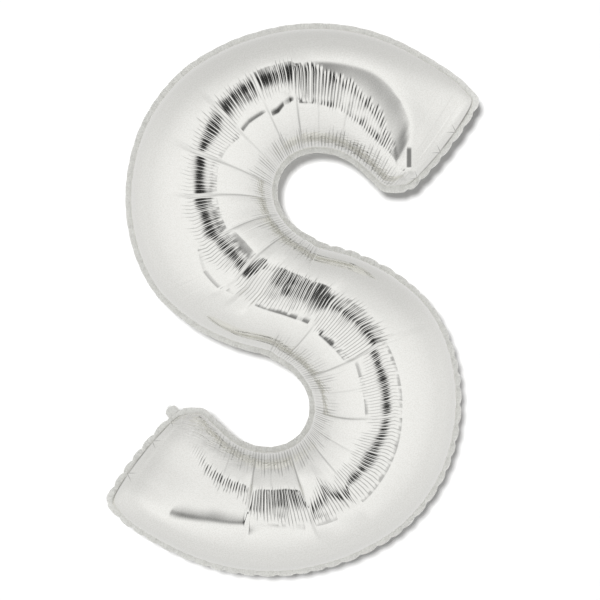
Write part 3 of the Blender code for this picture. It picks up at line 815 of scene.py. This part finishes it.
def pillows(place, share):
    """Plump places along the end seals, the pinched knots between them, and a seam line of painted shade."""
    from_seal = np.interp(from_end(place), places, crest_length)
    along = np.clip(from_seal / PILLOW_LENGTH, 0, 1)
    half = np.where(place < MIDDLE, half_width(np.zeros(1)), half_width(np.full(1, float(LAST))))
    total, painted_shade = np.zeros_like(share), np.zeros_like(share)
    for here, knots in ((place < MIDDLE, UPPER_KNOTS), (place >= MIDDLE, LOWER_KNOTS)):
        phase = np.interp(share, knots, np.arange(len(knots)))
        plump = np.abs(np.sin(np.pi * phase)) ** 0.6 * np.sin(np.pi * along) ** 2
        pinch_and_painted_shade = np.zeros_like(share)
        for knot in knots[1:-1]:
            for slant in (-0.5, 0.5):
                gap = (share - knot) * half - slant * from_seal
                pinch_and_painted_shade = pinch_and_painted_shade + np.exp(-((gap / KNOT_HALF) ** 2)) * (1 - along)
        total = total + here * (PILLOW_HEIGHT * plump - KNOT_DEPTH * pinch_and_painted_shade)
        # a seam line of painted shade close to the weld
        seam = np.exp(-(((from_seal - SEAM_PLACE) / SEAM_WIDTH) ** 2))
        painted_shade = painted_shade + here * seam * np.abs(np.sin(np.pi * phase)) ** 0.4
    return total, painted_shade


# %% [markdown]
# Beside the upper end's inner corner one fold mirrors nothing bright from its bottom. It is a shallow trench
# with a dark bar of painted shade along it, short and upright, so it is placed in the letter's plane.

# %% The fold with painted shade
# x, lower and upper z in metres
SHADED_FOLD = (0.2116, 0.2410, 0.2765)
SHADED_FOLD_HALF = 4.2 * MM
SHADED_FOLD_DEPTH = 0.25 * MM
# how strong the fold's painted shade is
SHADED_FOLD_PAINTED_SHADE = 0.93


def shaded_fold(flat):
    """The short fold beside the upper end's inner corner: a shallow trench and its painted shade."""
    x, low, high = SHADED_FOLD
    inside = ease((flat[..., 1] - low) / (2 * MM) + 0.5) * ease((high - flat[..., 1]) / (7 * MM) + 0.5)
    across = np.abs(flat[..., 0] - x)
    fold = (1 - ease((across - SHADED_FOLD_HALF) / (2.5 * MM) + 0.5)) * inside
    # a shallow trench, and a flat-topped bar of painted shade over it
    return -SHADED_FOLD_DEPTH * fold, SHADED_FOLD_PAINTED_SHADE * fold


# %% [markdown]
# ## A whole sheet
# All of it comes together in one function, which returns the sheet as an array of points. With them it
# returns what the material needs at each point: its painted shade, how near the bay it is, and where
# on the flat film it lies.

# %% The points of a sheet
RIM_DEPTH = 0.7 * MM
# how strong the painted shade in the ridges' valleys is
RIDGES_PAINTED_SHADE = 0.6


def film_points(face, seed):
    rng = np.random.default_rng(seed)
    place, count = ridge_places()
    table = panel_table(place)
    share = row_shares(table["left"], table["right"])
    flat = in_plane(leaning(place, share), share, WELD_WIDTH)
    backs, painted_valley_shade = ridges(place, share, table, rng, count)
    folded, crease_shade = creases(place, share)
    crumpled, crumple_shade = wrinkles(place, share, rng)
    plump, seam_shade = pillows(place, share)
    gathered, gather_shade = puckers(place, share, rng, count)
    slit, slit_shade = shaded_fold(flat)
    bumps = backs + folded + undulation(place, share, table, rng) + gathered + crumpled + slit
    height = tube(place, share, table) + bumps * ease(fullness(place, share) * 2) + plump
    height = np.maximum(height, 0) + RIM_DEPTH
    # the painted shade of all the marks: the darkest one wins at each point
    painted_shade = np.maximum.reduce(
        (RIDGES_PAINTED_SHADE * painted_valley_shade, crease_shade, crumple_shade, seam_shade, gather_shade, slit_shade)
    )
    crest = np.interp(place, places, crest_length) + 0 * share
    film_map = np.stack((crest, share * half_width(place)), -1)
    # the mesh carries the painted shade for the material to darken the colour with
    held = {"pinch_and_painted_shade": painted_shade, "bay": np.clip(towards_its_bay(place, share), 0, 1), "film": film_map}
    return np.stack((flat[..., 0], face * height, flat[..., 1]), -1), held


# %% [markdown]
# The sheet itself is a bmesh grid of as many rows and columns, whose vertices are moved onto the points.
# Values with one number a point become an attribute, and pairs become a UV map.

# %% A grid moved onto points


def grid_object(name, points, held):
    """A bmesh grid moved onto an array of points, with what is held at each point."""
    rows, columns = points.shape[:2]
    shape = bmesh.new()
    bmesh.ops.create_grid(shape, x_segments=columns - 1, y_segments=rows - 1, size=1)
    mesh = bpy.data.meshes.new(name)
    shape.to_mesh(mesh)
    shape.free()
    corner = np.empty(len(mesh.vertices) * 3, np.float32)
    mesh.vertices.foreach_get("co", corner)
    corner = corner.reshape(-1, 3)
    column = np.rint((corner[:, 0] + 1) / 2 * (columns - 1)).astype(int)
    row = np.rint((corner[:, 1] + 1) / 2 * (rows - 1)).astype(int)
    mesh.vertices.foreach_set("co", points[row, column].astype(np.float32).ravel())
    mesh.update()
    for label, values in held.items():
        values = values[row, column].astype(np.float32)
        if values.ndim == 1:
            mesh.attributes.new(label, "FLOAT", "POINT").data.foreach_set("value", values)
        else:
            ends = np.empty(len(mesh.loops), np.int32)
            mesh.loops.foreach_get("vertex_index", ends)
            mesh.uv_layers.new(name=label).data.foreach_set("uv", values[ends].ravel())
    piece = bpy.data.objects.new(name, mesh)
    bpy.context.scene.collection.objects.link(piece)
    return piece


# %% [markdown]
# Both sheets come from the same function, once towards the reader and once away, each with its own seed. A
# mirrored grid is inside out, so its faces are turned where they don't point out of the tube.

# %% Both sheets


def face_out(piece, face):
    """Turns the faces so that they point out of the tube."""
    shape = bmesh.new()
    shape.from_mesh(piece.data)
    if sum(each.normal.y for each in shape.faces) * face < 0:
        bmesh.ops.reverse_faces(shape, faces=shape.faces)
    shape.to_mesh(piece.data)
    shape.free()
    piece.data.shade_smooth()


sheets = {}
for name, face, seed in (("front_sheet", -1, 11), ("back_sheet", 1, 12)):
    points, held = film_points(face, seed)
    sheets[name] = grid_object(name, points, held)
    face_out(sheets[name], face)
    depth = np.abs(points[..., 1]).max() / MM
    print(f"{name}: {len(sheets[name].data.polygons) * 2} triangles, {depth:.0f} mm high")

# %% [markdown]
# ## The weld border
# Outside the tube the two films lie on each other, welded flat. The cut edge isn't smooth: the film between
# two gathers stands out in a shallow scallop. The border could be a flat face cut along the outline, but
# then it would have no rows to ripple. So it is one grid again, a ring of two thousand columns whose outer
# row follows the scallops, and whose inner row hides inside the tube. The light ripple keeps it from being
# a mirror.

# %% The line round the letter
RING_COLUMNS = 2000
POINTS_ALONG = 1501
POINTS_ACROSS = 121
SCALLOP_DEEP = 0.0035
SCALLOP_SHALLOW = 0.0008


def round_the_letter():
    """Place and share of evenly spaced points of the cut edge, and how deep its scallops are there."""
    along = np.linspace(0, LAST, POINTS_ALONG)
    across = np.linspace(1, -1, POINTS_ACROSS)
    one, full, none = np.ones_like(along), np.full_like(across, LAST), np.zeros_like(across)
    place = np.concatenate((along[:-1], full[:-1], along[:0:-1], none[:-1], (0,)))
    share = np.concatenate((one[:-1], across[:-1], -one[:0:-1], -across[:-1], (1,)))
    lower_end, upper_end = (share > -1) & (place == LAST), (place == 0) & (share < 1)
    lower_belly = (share == -1) & (place > MIDDLE)
    depth = np.where(lower_end | upper_end | lower_belly, SCALLOP_DEEP, SCALLOP_SHALLOW)
    steps = np.linalg.norm(np.diff(in_plane(place, share), axis=0), axis=1)
    travelled = np.concatenate(((0,), np.cumsum(steps)))
    wanted = np.linspace(0, travelled[-1], RING_COLUMNS + 1)
    place, share, depth = (np.interp(wanted, travelled, values) for values in (place, share, depth))
    return place, share, depth, wanted


# %% [markdown]
# Eight rows lead from the cut edge to under the tube. A scallop is a rounded bump between two notches, and
# the notches' distance wanders a little. The ripple is the sum of three waves that are multiples of the
# scallops', so the ring closes without a step.

# %% The border's points
SCALLOP_PITCH = 0.032
PITCH_WANDERS = 0.12
WANDERS_ROUND = 23
WELD_LAP = 0.0022
WELD_ROWS = (0.0, 0.12, 0.26, 0.42, 0.58, 0.74, 0.88, 1.0)
RIPPLE = 0.5 * MM


def weld_points():
    place, share, depth, travelled = round_the_letter()
    scallops = round(travelled[-1] / SCALLOP_PITCH)
    phase = travelled / travelled[-1] * scallops
    phase = phase + PITCH_WANDERS * np.sin(phase / scallops * 2 * np.pi * WANDERS_ROUND)
    notch = depth * (1 - np.abs(np.sin(np.pi * phase))) ** 1.5
    turn = 2 * np.pi * phase
    wave = np.sin(turn) + 0.6 * np.sin(turn * 2 + 1) + 0.5 * np.sin(turn * 5)
    insets = np.array([notch + (WELD_WIDTH + WELD_LAP - notch) * inwards for inwards in WELD_ROWS])
    flat = np.array([in_plane(place, share, inset[:, None]) for inset in insets])
    height = np.array([RIPPLE * wave * (1 - inwards) ** 1.2 for inwards in WELD_ROWS])
    weld_map = np.stack((insets, travelled + 0 * height), -1)
    return np.stack((flat[..., 0], height, flat[..., 1]), -1), weld_map


# %% [markdown]
# The ring's first and last column lie on each other. They are merged first, then the normals are made to
# agree, and only then does a Solidify modifier give the border its wall.

# %% The border
WELD_THICKNESS = 0.8 * MM


def add_wall(piece, thickness):
    wall = piece.modifiers.new("wall", "SOLIDIFY")
    wall.thickness = thickness
    wall.offset = 0


ring, ring_map = weld_points()
weld = grid_object("weld_border", ring, {"film": ring_map})
shape = bmesh.new()
shape.from_mesh(weld.data)
bmesh.ops.remove_doubles(shape, verts=shape.verts, dist=0.0001 * MM)
bmesh.ops.recalc_face_normals(shape, faces=shape.faces)
shape.to_mesh(weld.data)
shape.free()
add_wall(weld, WELD_THICKNESS)
weld.data.shade_smooth()
print("weld border:", len(weld.data.polygons), "faces,", f"{ring_map[0, -1, 1]:.2f} m round")

# %% [markdown]
# ## The filler neck
# The balloon is filled through a flat neck of the same two films, which sticks out of the weld beside the
# lower end's inner corner. The end of a clear valve film shows in its mouth. Both could be thin boxes with
# bevelled corners. A grid that narrows towards its tip gives the same rounded outline with even faces, so
# one function makes both.

# %% A flat tab of film
TAB_STEPS = 14
TAB_WAVE = 0.3 * MM
TIP_FROM = 0.45
TIP_POWER = 2.4


def tab(name, base, outwards, width, length, thickness):
    shape = bmesh.new()
    bmesh.ops.create_grid(shape, x_segments=TAB_STEPS, y_segments=TAB_STEPS, size=1)
    across = Vector((-outwards.z, 0, outwards.x))
    for vertex in shape.verts:
        u, v = vertex.co.x, (vertex.co.y + 1) / 2
        on_tip = max(0.0, (v - TIP_FROM) / (1 - TIP_FROM))
        narrow = math.sqrt(max(0.0, 1 - on_tip**TIP_POWER))
        vertex.co = base + across * u * width / 2 * narrow + outwards * v * length
        vertex.co.y += TAB_WAVE * math.sin(u * 7 + v * 3) * (1 - v)
    bmesh.ops.remove_doubles(shape, verts=shape.verts, dist=0.01 * MM)
    bmesh.ops.recalc_face_normals(shape, faces=shape.faces)
    mesh = bpy.data.meshes.new(name)
    shape.to_mesh(mesh)
    shape.free()
    mesh.shade_smooth()
    piece = bpy.data.objects.new(name, mesh)
    bpy.context.scene.collection.objects.link(piece)
    add_wall(piece, thickness)
    return piece


# %% [markdown]
# The neck's root is tucked under the weld border, and points straight out of the end seal. The valve film
# is half as wide, and only its tip looks out of the mouth.

# %% The neck and the valve film
NECK_SHARE = 0.84
NECK_WIDTH = 24 * MM
NECK_LENGTH = 12 * MM
NECK_THICKNESS = 1.2 * MM
LIP_WIDTH = 12 * MM
LIP_LENGTH = 6.8 * MM
LIP_THICKNESS = 0.5 * MM
HIDDEN = 4 * MM


def neck_seat():
    """The middle of the neck's root on the cut edge, and the direction that it points in."""
    end = np.full(3, float(LAST))
    half = np.linalg.norm(section(end)[1][0])
    share = NECK_SHARE + np.array((-1, 0, 1)) * NECK_WIDTH / 2 / half
    low, base, high = in_plane(end, share)
    along = (high - low) / np.linalg.norm(high - low)
    return Vector((base[0], 0, base[1])), Vector((-along[1], 0, along[0]))


root, outwards = neck_seat()
neck = tab("fill_neck", root - outwards * HIDDEN, outwards, NECK_WIDTH, NECK_LENGTH + HIDDEN, NECK_THICKNESS)
lip_root = root + outwards * (NECK_LENGTH - HIDDEN)
lip = tab("valve_lip", lip_root, outwards, LIP_WIDTH, LIP_LENGTH, LIP_THICKNESS)
print("neck at", [round(value / MM) for value in root], "mm")

# %% [markdown]
# ## Materials
# The balloon has three finishes: the bright metal coat of the sheets, the same coat dulled by the weld, and
# the milky film of the valve. What they share, a fine grain and pleats, are node groups with named inputs
# and outputs, so each material places them with its own values. A tree is long to write out, so a few short
# helpers come first.

# %% Short ways to add nodes and join them


class Graph:
    """A node tree with short ways to add nodes to it and join them."""

    def __init__(self, tree):
        self.tree = tree

    def node(self, kind, **settings):
        made = self.tree.nodes.new(kind)
        for name, value in settings.items():
            setattr(made, name, value)
        return made

    def join(self, start, end):
        self.tree.links.new(start, end)

    def fill(self, socket, value):
        if isinstance(value, bpy.types.NodeSocket):
            self.join(value, socket)
        else:
            socket.default_value = value

    def apart(self, vector):
        made = self.node("ShaderNodeSeparateXYZ")
        self.join(vector, made.inputs[0])
        return made.outputs

    def maths(self, operation, *values):
        made = self.node("ShaderNodeMath", operation=operation)
        for socket, value in zip(made.inputs, values):
            self.fill(socket, value)
        return made.outputs[0]

    def ramp(self, value, low, high, bottom=0.0, top=1.0):
        made = self.node("ShaderNodeMapRange", interpolation_type="SMOOTHSTEP")
        labels = ("Value", "From Min", "From Max", "To Min", "To Max")
        for label, given in zip(labels, (value, low, high, bottom, top)):
            self.fill(made.inputs[label], given)
        return made.outputs[0]

    def noise(self, vector, scale, detail):
        made = self.node("ShaderNodeTexNoise")
        self.fill(made.inputs["Vector"], vector)
        self.fill(made.inputs["Scale"], scale)
        made.inputs["Detail"].default_value = detail
        return made.outputs[0]

    def blend(self, factor, first, second):
        made = self.node("ShaderNodeMix", data_type="RGBA")
        self.fill(made.inputs["Factor"], factor)
        colours = [socket for socket in made.inputs if socket.type == "RGBA"]
        self.fill(colours[0], first)
        self.fill(colours[1], second)
        return [socket for socket in made.outputs if socket.type == "RGBA"][0]

    def bump(self, height, distance, strength=1.0, normal=None):
        made = self.node("ShaderNodeBump")
        made.inputs["Distance"].default_value = distance
        made.inputs["Strength"].default_value = strength
        self.join(height, made.inputs["Height"])
        if normal is not None:
            self.join(normal, made.inputs["Normal"])
        return made.outputs[0]

    def placed(self, tree, **values):
        """One use of a node group, with its own values."""
        made = self.node("ShaderNodeGroup", node_tree=tree)
        for label, value in values.items():
            self.fill(made.inputs[label], value)
        return made.outputs


def group(name, inputs, outputs):
    """A new node group: its graph, the inputs to read from and the outputs to fill."""
    tree = bpy.data.node_groups.new(name, "ShaderNodeTree")
    for label, value in inputs.items():
        kind = "NodeSocketVector" if value is None else "NodeSocketFloat"
        made = tree.interface.new_socket(label, in_out="INPUT", socket_type=kind)
        if value is not None:
            made.default_value = value
    for label in outputs:
        tree.interface.new_socket(label, in_out="OUTPUT", socket_type="NodeSocketFloat")
    graph = Graph(tree)
    return graph, graph.node("NodeGroupInput").outputs, graph.node("NodeGroupOutput").inputs


# %% [markdown]
# The grain is what keeps the coat from being a perfect mirror: specks of a few millimetres, and broad
# blotches that are twenty times as wide. A noise texture on object coordinates gives both, and its size
# goes in as metres.

# %% The grain of the metal coat
BLOTCH = 20
graph, given, put = group("film_grain", {"Vector": None, "Size": 0.002}, ("Grain", "Mottle"))
fine = graph.noise(given["Vector"], graph.maths("DIVIDE", 1.0, given["Size"]), 2.0)
graph.join(fine, put["Grain"])
broad = graph.noise(given["Vector"], graph.maths("DIVIDE", 1.0 / BLOTCH, given["Size"]), 3.0)
graph.join(graph.ramp(broad, 0.3, 0.7), put["Mottle"])
film_grain = graph.tree
print("film_grain has", len(film_grain.nodes), "nodes")

# %% [markdown]
# Pleats run with the film and not with the room, so they read each piece's own map, in metres along and
# across the film. Stretched noise gives streaks, and where it crosses its middle value lies the floor of a
# pleat, which gets painted shade.

# %% Pleats finer than the mesh
graph, given, put = group(
    "fine_pleats", {"Map": None, "Pitch": 0.006, "Length": 0.03, "Lean": 0.0}, ("Height", "Painted Shade")
)
along, across, _ = graph.apart(given["Map"])
leant = graph.maths("MULTIPLY_ADD", along, given["Lean"], across)
stretched = graph.node("ShaderNodeCombineXYZ")
graph.join(graph.maths("DIVIDE", along, given["Length"]), stretched.inputs[0])
graph.join(graph.maths("DIVIDE", leant, given["Pitch"]), stretched.inputs[1])
wave = graph.noise(stretched.outputs[0], 1.0, 1.5)
off_floor = graph.maths("ABSOLUTE", graph.maths("SUBTRACT", wave, 0.5))
graph.join(graph.ramp(off_floor, 0.0, 0.12), put["Height"])
# painted shade along the floor of each pleat
graph.join(graph.ramp(off_floor, 0.0, 0.035, 1.0, 0.0), put["Painted Shade"])
fine_pleats = graph.tree
print("fine_pleats has", len(fine_pleats.nodes), "nodes")

# %% [markdown]
# From each knot of an end seal two sharp folds run into the film, one to either side, and die out within
# two centimetres. The group draws one of them as a line of painted shade, and the material places it once
# for every knot and side.

# %% The painted shade of the folds at the knots of the end seals
graph, given, put = group("knot_fold_shade", {"Along": 0.0, "Across": 0.0, "Knot": 0.0, "Lean": 0.5}, ("Fold Shade",))
off = graph.maths("SUBTRACT", given["Across"], given["Knot"])
off = graph.maths("ABSOLUTE", graph.maths("MULTIPLY_ADD", given["Along"], given["Lean"], off))
line = graph.ramp(off, 0.0, 0.0016, 1.0, 0.0)
fading = graph.ramp(given["Along"], 0.004, 0.02, 1.0, 0.0)
graph.join(graph.maths("MULTIPLY", line, fading), put["Fold Shade"])
knot_fold_shade = graph.tree
print("knot_fold_shade has", len(knot_fold_shade.nodes), "nodes")

# %% [markdown]
# ## The silver film
# It is metal all over, and its colour is a slightly warm light grey. The mesh holds the folds, but a valley
# a millimetre wide between two ridges sees only other film, which mirrors nothing bright. So the mesh
# carries painted shade for each point, and the material darkens the colour there. Pleats show only towards
# the bays, and more so near the ends.

# %% The silver film's masks
# painted shade: the dark colour it blends towards, and how strong the pleats', knots' and mesh's painted
# shade is
PAINTED_SHADE_COLOUR = (0.05, 0.05, 0.048, 1)
PLEATS_PAINTED_SHADE = 0.12
KNOTS_PAINTED_SHADE = 0.6
PAINTED_SHADE_STRENGTH = 0.85


def new_material(name):
    material = bpy.data.materials.new(name)
    material.use_nodes = True
    return material, Graph(material.node_tree), material.node_tree.nodes["Principled BSDF"]


film, graph, shader = new_material("silver_film")
where = graph.node("ShaderNodeTexCoord").outputs["Object"]
grain = graph.placed(film_grain, Vector=where, Size=0.0022)
# the painted shade that the mesh carries
pinch_and_painted_shade = graph.node("ShaderNodeAttribute", attribute_name="pinch_and_painted_shade").outputs["Fac"]
bay = graph.node("ShaderNodeAttribute", attribute_name="bay").outputs["Fac"]
film_map = graph.node("ShaderNodeUVMap", uv_map="film").outputs[0]
along, across, _ = graph.apart(film_map)
from_lower = graph.maths("SUBTRACT", float(crest_length[-1]), along)
near_bay = graph.ramp(bay, 0.5, 0.8)
near_end = graph.ramp(graph.maths("MINIMUM", along, from_lower), 0.05, 0.35, 1.0, 0.35)
where_pleated = graph.maths("MULTIPLY", near_bay, near_end)

# %% [markdown]
# Three kinds of painted shade lines are drawn where the mesh is too coarse: pleats, pleats that cross
# them, and the folds at the knots. The darkest one wins at each point, so crossings don't add up to black.

# %% Its painted shade lines: pleats, crossed pleats and the folds at the knots
pleats = graph.placed(fine_pleats, Map=film_map, Pitch=0.0075, Length=0.045, Lean=0.25)
crossed = graph.placed(fine_pleats, Map=film_map, Pitch=0.011, Length=0.016, Lean=-0.9)
painted_valley_shade = graph.maths("MAXIMUM", pleats["Painted Shade"], graph.maths("MULTIPLY", crossed["Painted Shade"], 0.7))
painted_shade_lines = graph.maths("MULTIPLY", graph.maths("MULTIPLY", painted_valley_shade, where_pleated), PLEATS_PAINTED_SHADE)
for end, from_seal, knots in ((0, along, UPPER_KNOTS), (LAST, from_lower, LOWER_KNOTS)):
    half = half_width(np.array([float(end)]))[0]
    for knot in knots[1:-1]:
        for lean in (-0.6, 0.6):
            at = float(knot * half)
            fold = graph.placed(knot_fold_shade, Along=from_seal, Across=across, Knot=at, Lean=lean)
            painted_shade_lines = graph.maths("MAXIMUM", painted_shade_lines, graph.maths("MULTIPLY", fold["Fold Shade"], KNOTS_PAINTED_SHADE))

# %% [markdown]
# The painted shade darkens the colour, the blotches change the gloss a little, and two bumps follow each
# other: the pleats on top of the specks. Metallic is the same all over, so it is set on the shader itself.

# %% Its colour, gloss and bump
COAT_COLOURS = ((0.83, 0.825, 0.79, 1), (0.90, 0.895, 0.865, 1))
COAT_ROUGHNESS = (0.08, 0.12)

# painted shade: the mesh's marks and the painted lines pull the colour towards a dark metal
shade = graph.maths("MULTIPLY", graph.maths("MAXIMUM", pinch_and_painted_shade, painted_shade_lines), PAINTED_SHADE_STRENGTH)
colour = graph.blend(graph.ramp(grain["Grain"], 0.3, 0.7), *COAT_COLOURS)
graph.join(graph.blend(shade, colour, PAINTED_SHADE_COLOUR), shader.inputs["Base Color"])
graph.join(graph.ramp(grain["Mottle"], 0, 1, *COAT_ROUGHNESS), shader.inputs["Roughness"])
shader.inputs["Metallic"].default_value = 1.0
specks = graph.bump(grain["Grain"], 0.06 * MM, 0.3)
pleated = graph.maths("MULTIPLY", pleats["Height"], where_pleated)
graph.join(graph.bump(pleated, 0.4 * MM, normal=specks), shader.inputs["Normal"])
print("silver film:", len(film.node_tree.nodes), "nodes")

# %% [markdown]
# ## The welded and the clear film
# The hot tool presses its own texture into the border, so the weld is paler and far less of a mirror than
# the tube, with a few short pleats across it, drawn as painted shade. A plain grey would lose the metal's
# lights and darks, so it stays a metal, only a rough one.

# %% The welded film
WELD_COLOURS = ((0.87, 0.87, 0.84, 1), (0.97, 0.97, 0.94, 1))
# the colour of the painted shade in the weld's pleat valleys
WELD_PAINTED_SHADE_COLOUR = (0.3, 0.3, 0.29, 1)
WELD_ROUGHNESS = (0.56, 0.66)

welded, graph, shader = new_material("welded_film")
where = graph.node("ShaderNodeTexCoord").outputs["Object"]
grain = graph.placed(film_grain, Vector=where, Size=0.003)
film_map = graph.node("ShaderNodeUVMap", uv_map="film").outputs[0]
pleats = graph.placed(fine_pleats, Map=film_map, Pitch=0.009, Length=0.02, Lean=0.3)
colour = graph.blend(graph.ramp(grain["Grain"], 0.3, 0.7), *WELD_COLOURS)
# painted shade in the weld's pleat valleys
shade = graph.maths("MULTIPLY", pleats["Painted Shade"], PLEATS_PAINTED_SHADE)
graph.join(graph.blend(shade, colour, WELD_PAINTED_SHADE_COLOUR), shader.inputs["Base Color"])
graph.join(graph.ramp(grain["Mottle"], 0, 1, *WELD_ROUGHNESS), shader.inputs["Roughness"])
shader.inputs["Metallic"].default_value = 1.0
graph.join(graph.bump(grain["Grain"], 0.4 * MM, 0.6), shader.inputs["Normal"])
print("welded film:", len(welded.node_tree.nodes), "nodes")

# %% [markdown]
# The valve film is plain plastic: pale, milky and partly see-through, and the grain shows in how clear it
# is.

# %% The clear film
MILKY = (0.85, 0.86, 0.84, 1)
MILKY_ALPHA = (0.55, 0.75)

clear, graph, shader = new_material("clear_film")
shader.inputs["Base Color"].default_value = MILKY
shader.inputs["Roughness"].default_value = 0.25
where = graph.node("ShaderNodeTexCoord").outputs["Object"]
grain = graph.placed(film_grain, Vector=where, Size=0.002)
graph.join(graph.ramp(grain["Grain"], 0, 1, *MILKY_ALPHA), shader.inputs["Alpha"])
print("clear film:", len(clear.node_tree.nodes), "nodes")

# %% [markdown]
# Each piece now gets its material.

# %% Dress the solids
for piece, material, node, slot in (
    (sheets["front_sheet"], film, "front_foil", "silver_film"),
    (sheets["back_sheet"], film, "back_foil", "silver_film"),
    (weld, welded, "seal_band", "welded_film"),
    (neck, welded, "fill_tail", "welded_film"),
    (lip, clear, "valve_film", "clear_film"),
):
    piece.data.materials.append(material)
    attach(piece, "root")
    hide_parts(node)
    print(piece.name, "stands for", node)

# %% [markdown]
# ## The studio
# A mirror is lit by what it mirrors. The photograph's room is white all round, except for the dark place
# behind the camera, which the level crest shows. That is easiest to give as a world: white, a little dimmer
# to the sides, overhead, below and behind, with a soft dark patch towards the reader. The patch is a bit
# higher than wide, and has a twin on the far side for the back sheet to mirror.
#
# The world gives little diffuse light, because two lamps do that, and the camera itself sees it white.

# %% The world that the film mirrors
PATCH_EDGES = (0.14, 0.36)
PATCH_LEVEL = 0.03
PATCH_SHAPE = 0.9
SIDES_LEVEL = 0.86
OVERHEAD_LEVEL = 0.82
BELOW_LEVEL = 0.94
BEHIND_LEVEL = 0.80
LEFT_OUT_OF_DIFFUSE = 0.8

scene = bpy.context.scene
scene.view_settings.view_transform = "Standard"
world = bpy.data.worlds.new("studio")
scene.world = world
world.use_nodes = True
world.cycles.sampling_method = "NONE"
world.node_tree.nodes.clear()
graph = Graph(world.node_tree)
x, y, z = graph.apart(graph.node("ShaderNodeTexCoord").outputs["Generated"])
low_z = graph.maths("MULTIPLY", z, PATCH_SHAPE)
squares = graph.maths("ADD", graph.maths("MULTIPLY", x, x), graph.maths("MULTIPLY", low_z, low_z))
patch = graph.ramp(graph.maths("SQRT", squares), *PATCH_EDGES, PATCH_LEVEL, 1.0)
sides = graph.ramp(graph.maths("ABSOLUTE", y), 0.0, 0.95, SIDES_LEVEL, 1.0)
overhead = graph.ramp(z, 0.1, 1.0, 1.0, OVERHEAD_LEVEL)
below = graph.ramp(z, -1.0, -0.1, BELOW_LEVEL, 1.0)
behind = graph.ramp(y, 0.0, 0.9, 1.0, BEHIND_LEVEL)
level = graph.maths("MULTIPLY", patch, sides)
level = graph.maths("MULTIPLY", level, graph.maths("MULTIPLY", overhead, below))
level = graph.maths("MULTIPLY", level, behind)
path = graph.node("ShaderNodeLightPath").outputs
for_diffuse = graph.maths("MULTIPLY_ADD", path["Is Diffuse Ray"], -LEFT_OUT_OF_DIFFUSE, 1.0)
level = graph.maths("MULTIPLY", level, for_diffuse)
level = graph.maths("MAXIMUM", level, path["Is Camera Ray"])
background = graph.node("ShaderNodeBackground")
graph.join(level, background.inputs["Color"])
graph.join(background.outputs[0], graph.node("ShaderNodeOutputWorld").inputs["Surface"])
print("world:", len(world.node_tree.nodes), "nodes")

# %% [markdown]
# The balloon hangs close in front of white paper, and its shadow falls there to the lower right. A second
# sheet is the floor. Neither is mirrored in the film, which would double the walls that the world has, and
# from behind the paper is see-through so that it doesn't hide the balloon.

# %% Paper behind and below
BACKDROP_PLACE = 0.137
FLOOR_PLACE = -0.62
PAPER_HALF = 3.0

paper, graph, shader = new_material("paper")
shader.inputs["Base Color"].default_value = (0.9, 0.9, 0.9, 1)
shader.inputs["Roughness"].default_value = 1.0
mix = graph.node("ShaderNodeMixShader")
graph.join(graph.node("ShaderNodeNewGeometry").outputs["Backfacing"], mix.inputs[0])
graph.join(shader.outputs[0], mix.inputs[1])
graph.join(graph.node("ShaderNodeBsdfTransparent").outputs[0], mix.inputs[2])
graph.join(mix.outputs[0], graph.tree.nodes["Material Output"].inputs["Surface"])


def sheet_of_paper(name, place):
    shape = bmesh.new()
    bmesh.ops.create_grid(shape, x_segments=1, y_segments=1, size=PAPER_HALF)
    for vertex in shape.verts:
        vertex.co = place(vertex.co.x, vertex.co.y)
    mesh = bpy.data.meshes.new(name)
    shape.to_mesh(mesh)
    shape.free()
    mesh.materials.append(paper)
    piece = bpy.data.objects.new(name, mesh)
    scene.collection.objects.link(piece)
    piece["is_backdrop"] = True
    piece.visible_glossy = False
    piece.visible_diffuse = False


sheet_of_paper("backdrop", lambda x, z: Vector((x, BACKDROP_PLACE, z)))
sheet_of_paper("floor", lambda x, y: Vector((x, y, FLOOR_PLACE)))
print("paper", BACKDROP_PLACE, "m behind the weld and", -FLOOR_PLACE, "m below the middle")

# %% [markdown]
# Two distant lamps light the paper: the key from just above and left of the camera, whose soft shadow shows
# on the backdrop, and a weaker one from above for the floor. The film doesn't mirror them either.

# %% Lamps


def lamp(name, direction, energy, angle):
    light = bpy.data.lights.new(name, "SUN")
    light.energy = energy
    light.angle = math.radians(angle)
    piece = bpy.data.objects.new(name, light)
    piece.rotation_euler = Vector(direction).to_track_quat("-Z", "Y").to_euler()
    piece.visible_glossy = False
    scene.collection.objects.link(piece)
    print(name, "lamp, strength", energy)


lamp("key", (0.075, 1, -0.08), 3.0, 6)
lamp("top", (0.0, 0.05, -1), 2.4, 4)

# %% [markdown]
# ## The camera
# The photograph looks straight at the letter with a long lens: both ends are seen flat, and no side of the
# tube shows. So the camera stands 12 m away, and the lens is chosen so that the picture's width is what the
# letter's size asks for.

# %% The camera
SENSOR_WIDTH = 36
LENS_DISTANCE = 12.0
VIEW_WIDTH = 1.104
# x and z of the picture's middle
AIM = (0.012, -0.002)

lens = bpy.data.cameras.new("camera")
lens.sensor_width = SENSOR_WIDTH
lens.lens = SENSOR_WIDTH * LENS_DISTANCE / VIEW_WIDTH
camera = bpy.data.objects.new("camera", lens)
camera.location = (AIM[0], -LENS_DISTANCE, AIM[1])
camera.rotation_euler = (math.radians(90), 0, 0)
scene.collection.objects.link(camera)
scene.camera = camera
print(f"lens of {lens.lens:.0f} mm")

# %% Sizes, and the end
visual_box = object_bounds()
for axis, low, high in zip("xyz", *visual_box):
    print(f"{axis}: {low / MM:.1f} to {high / MM:.1f} mm")
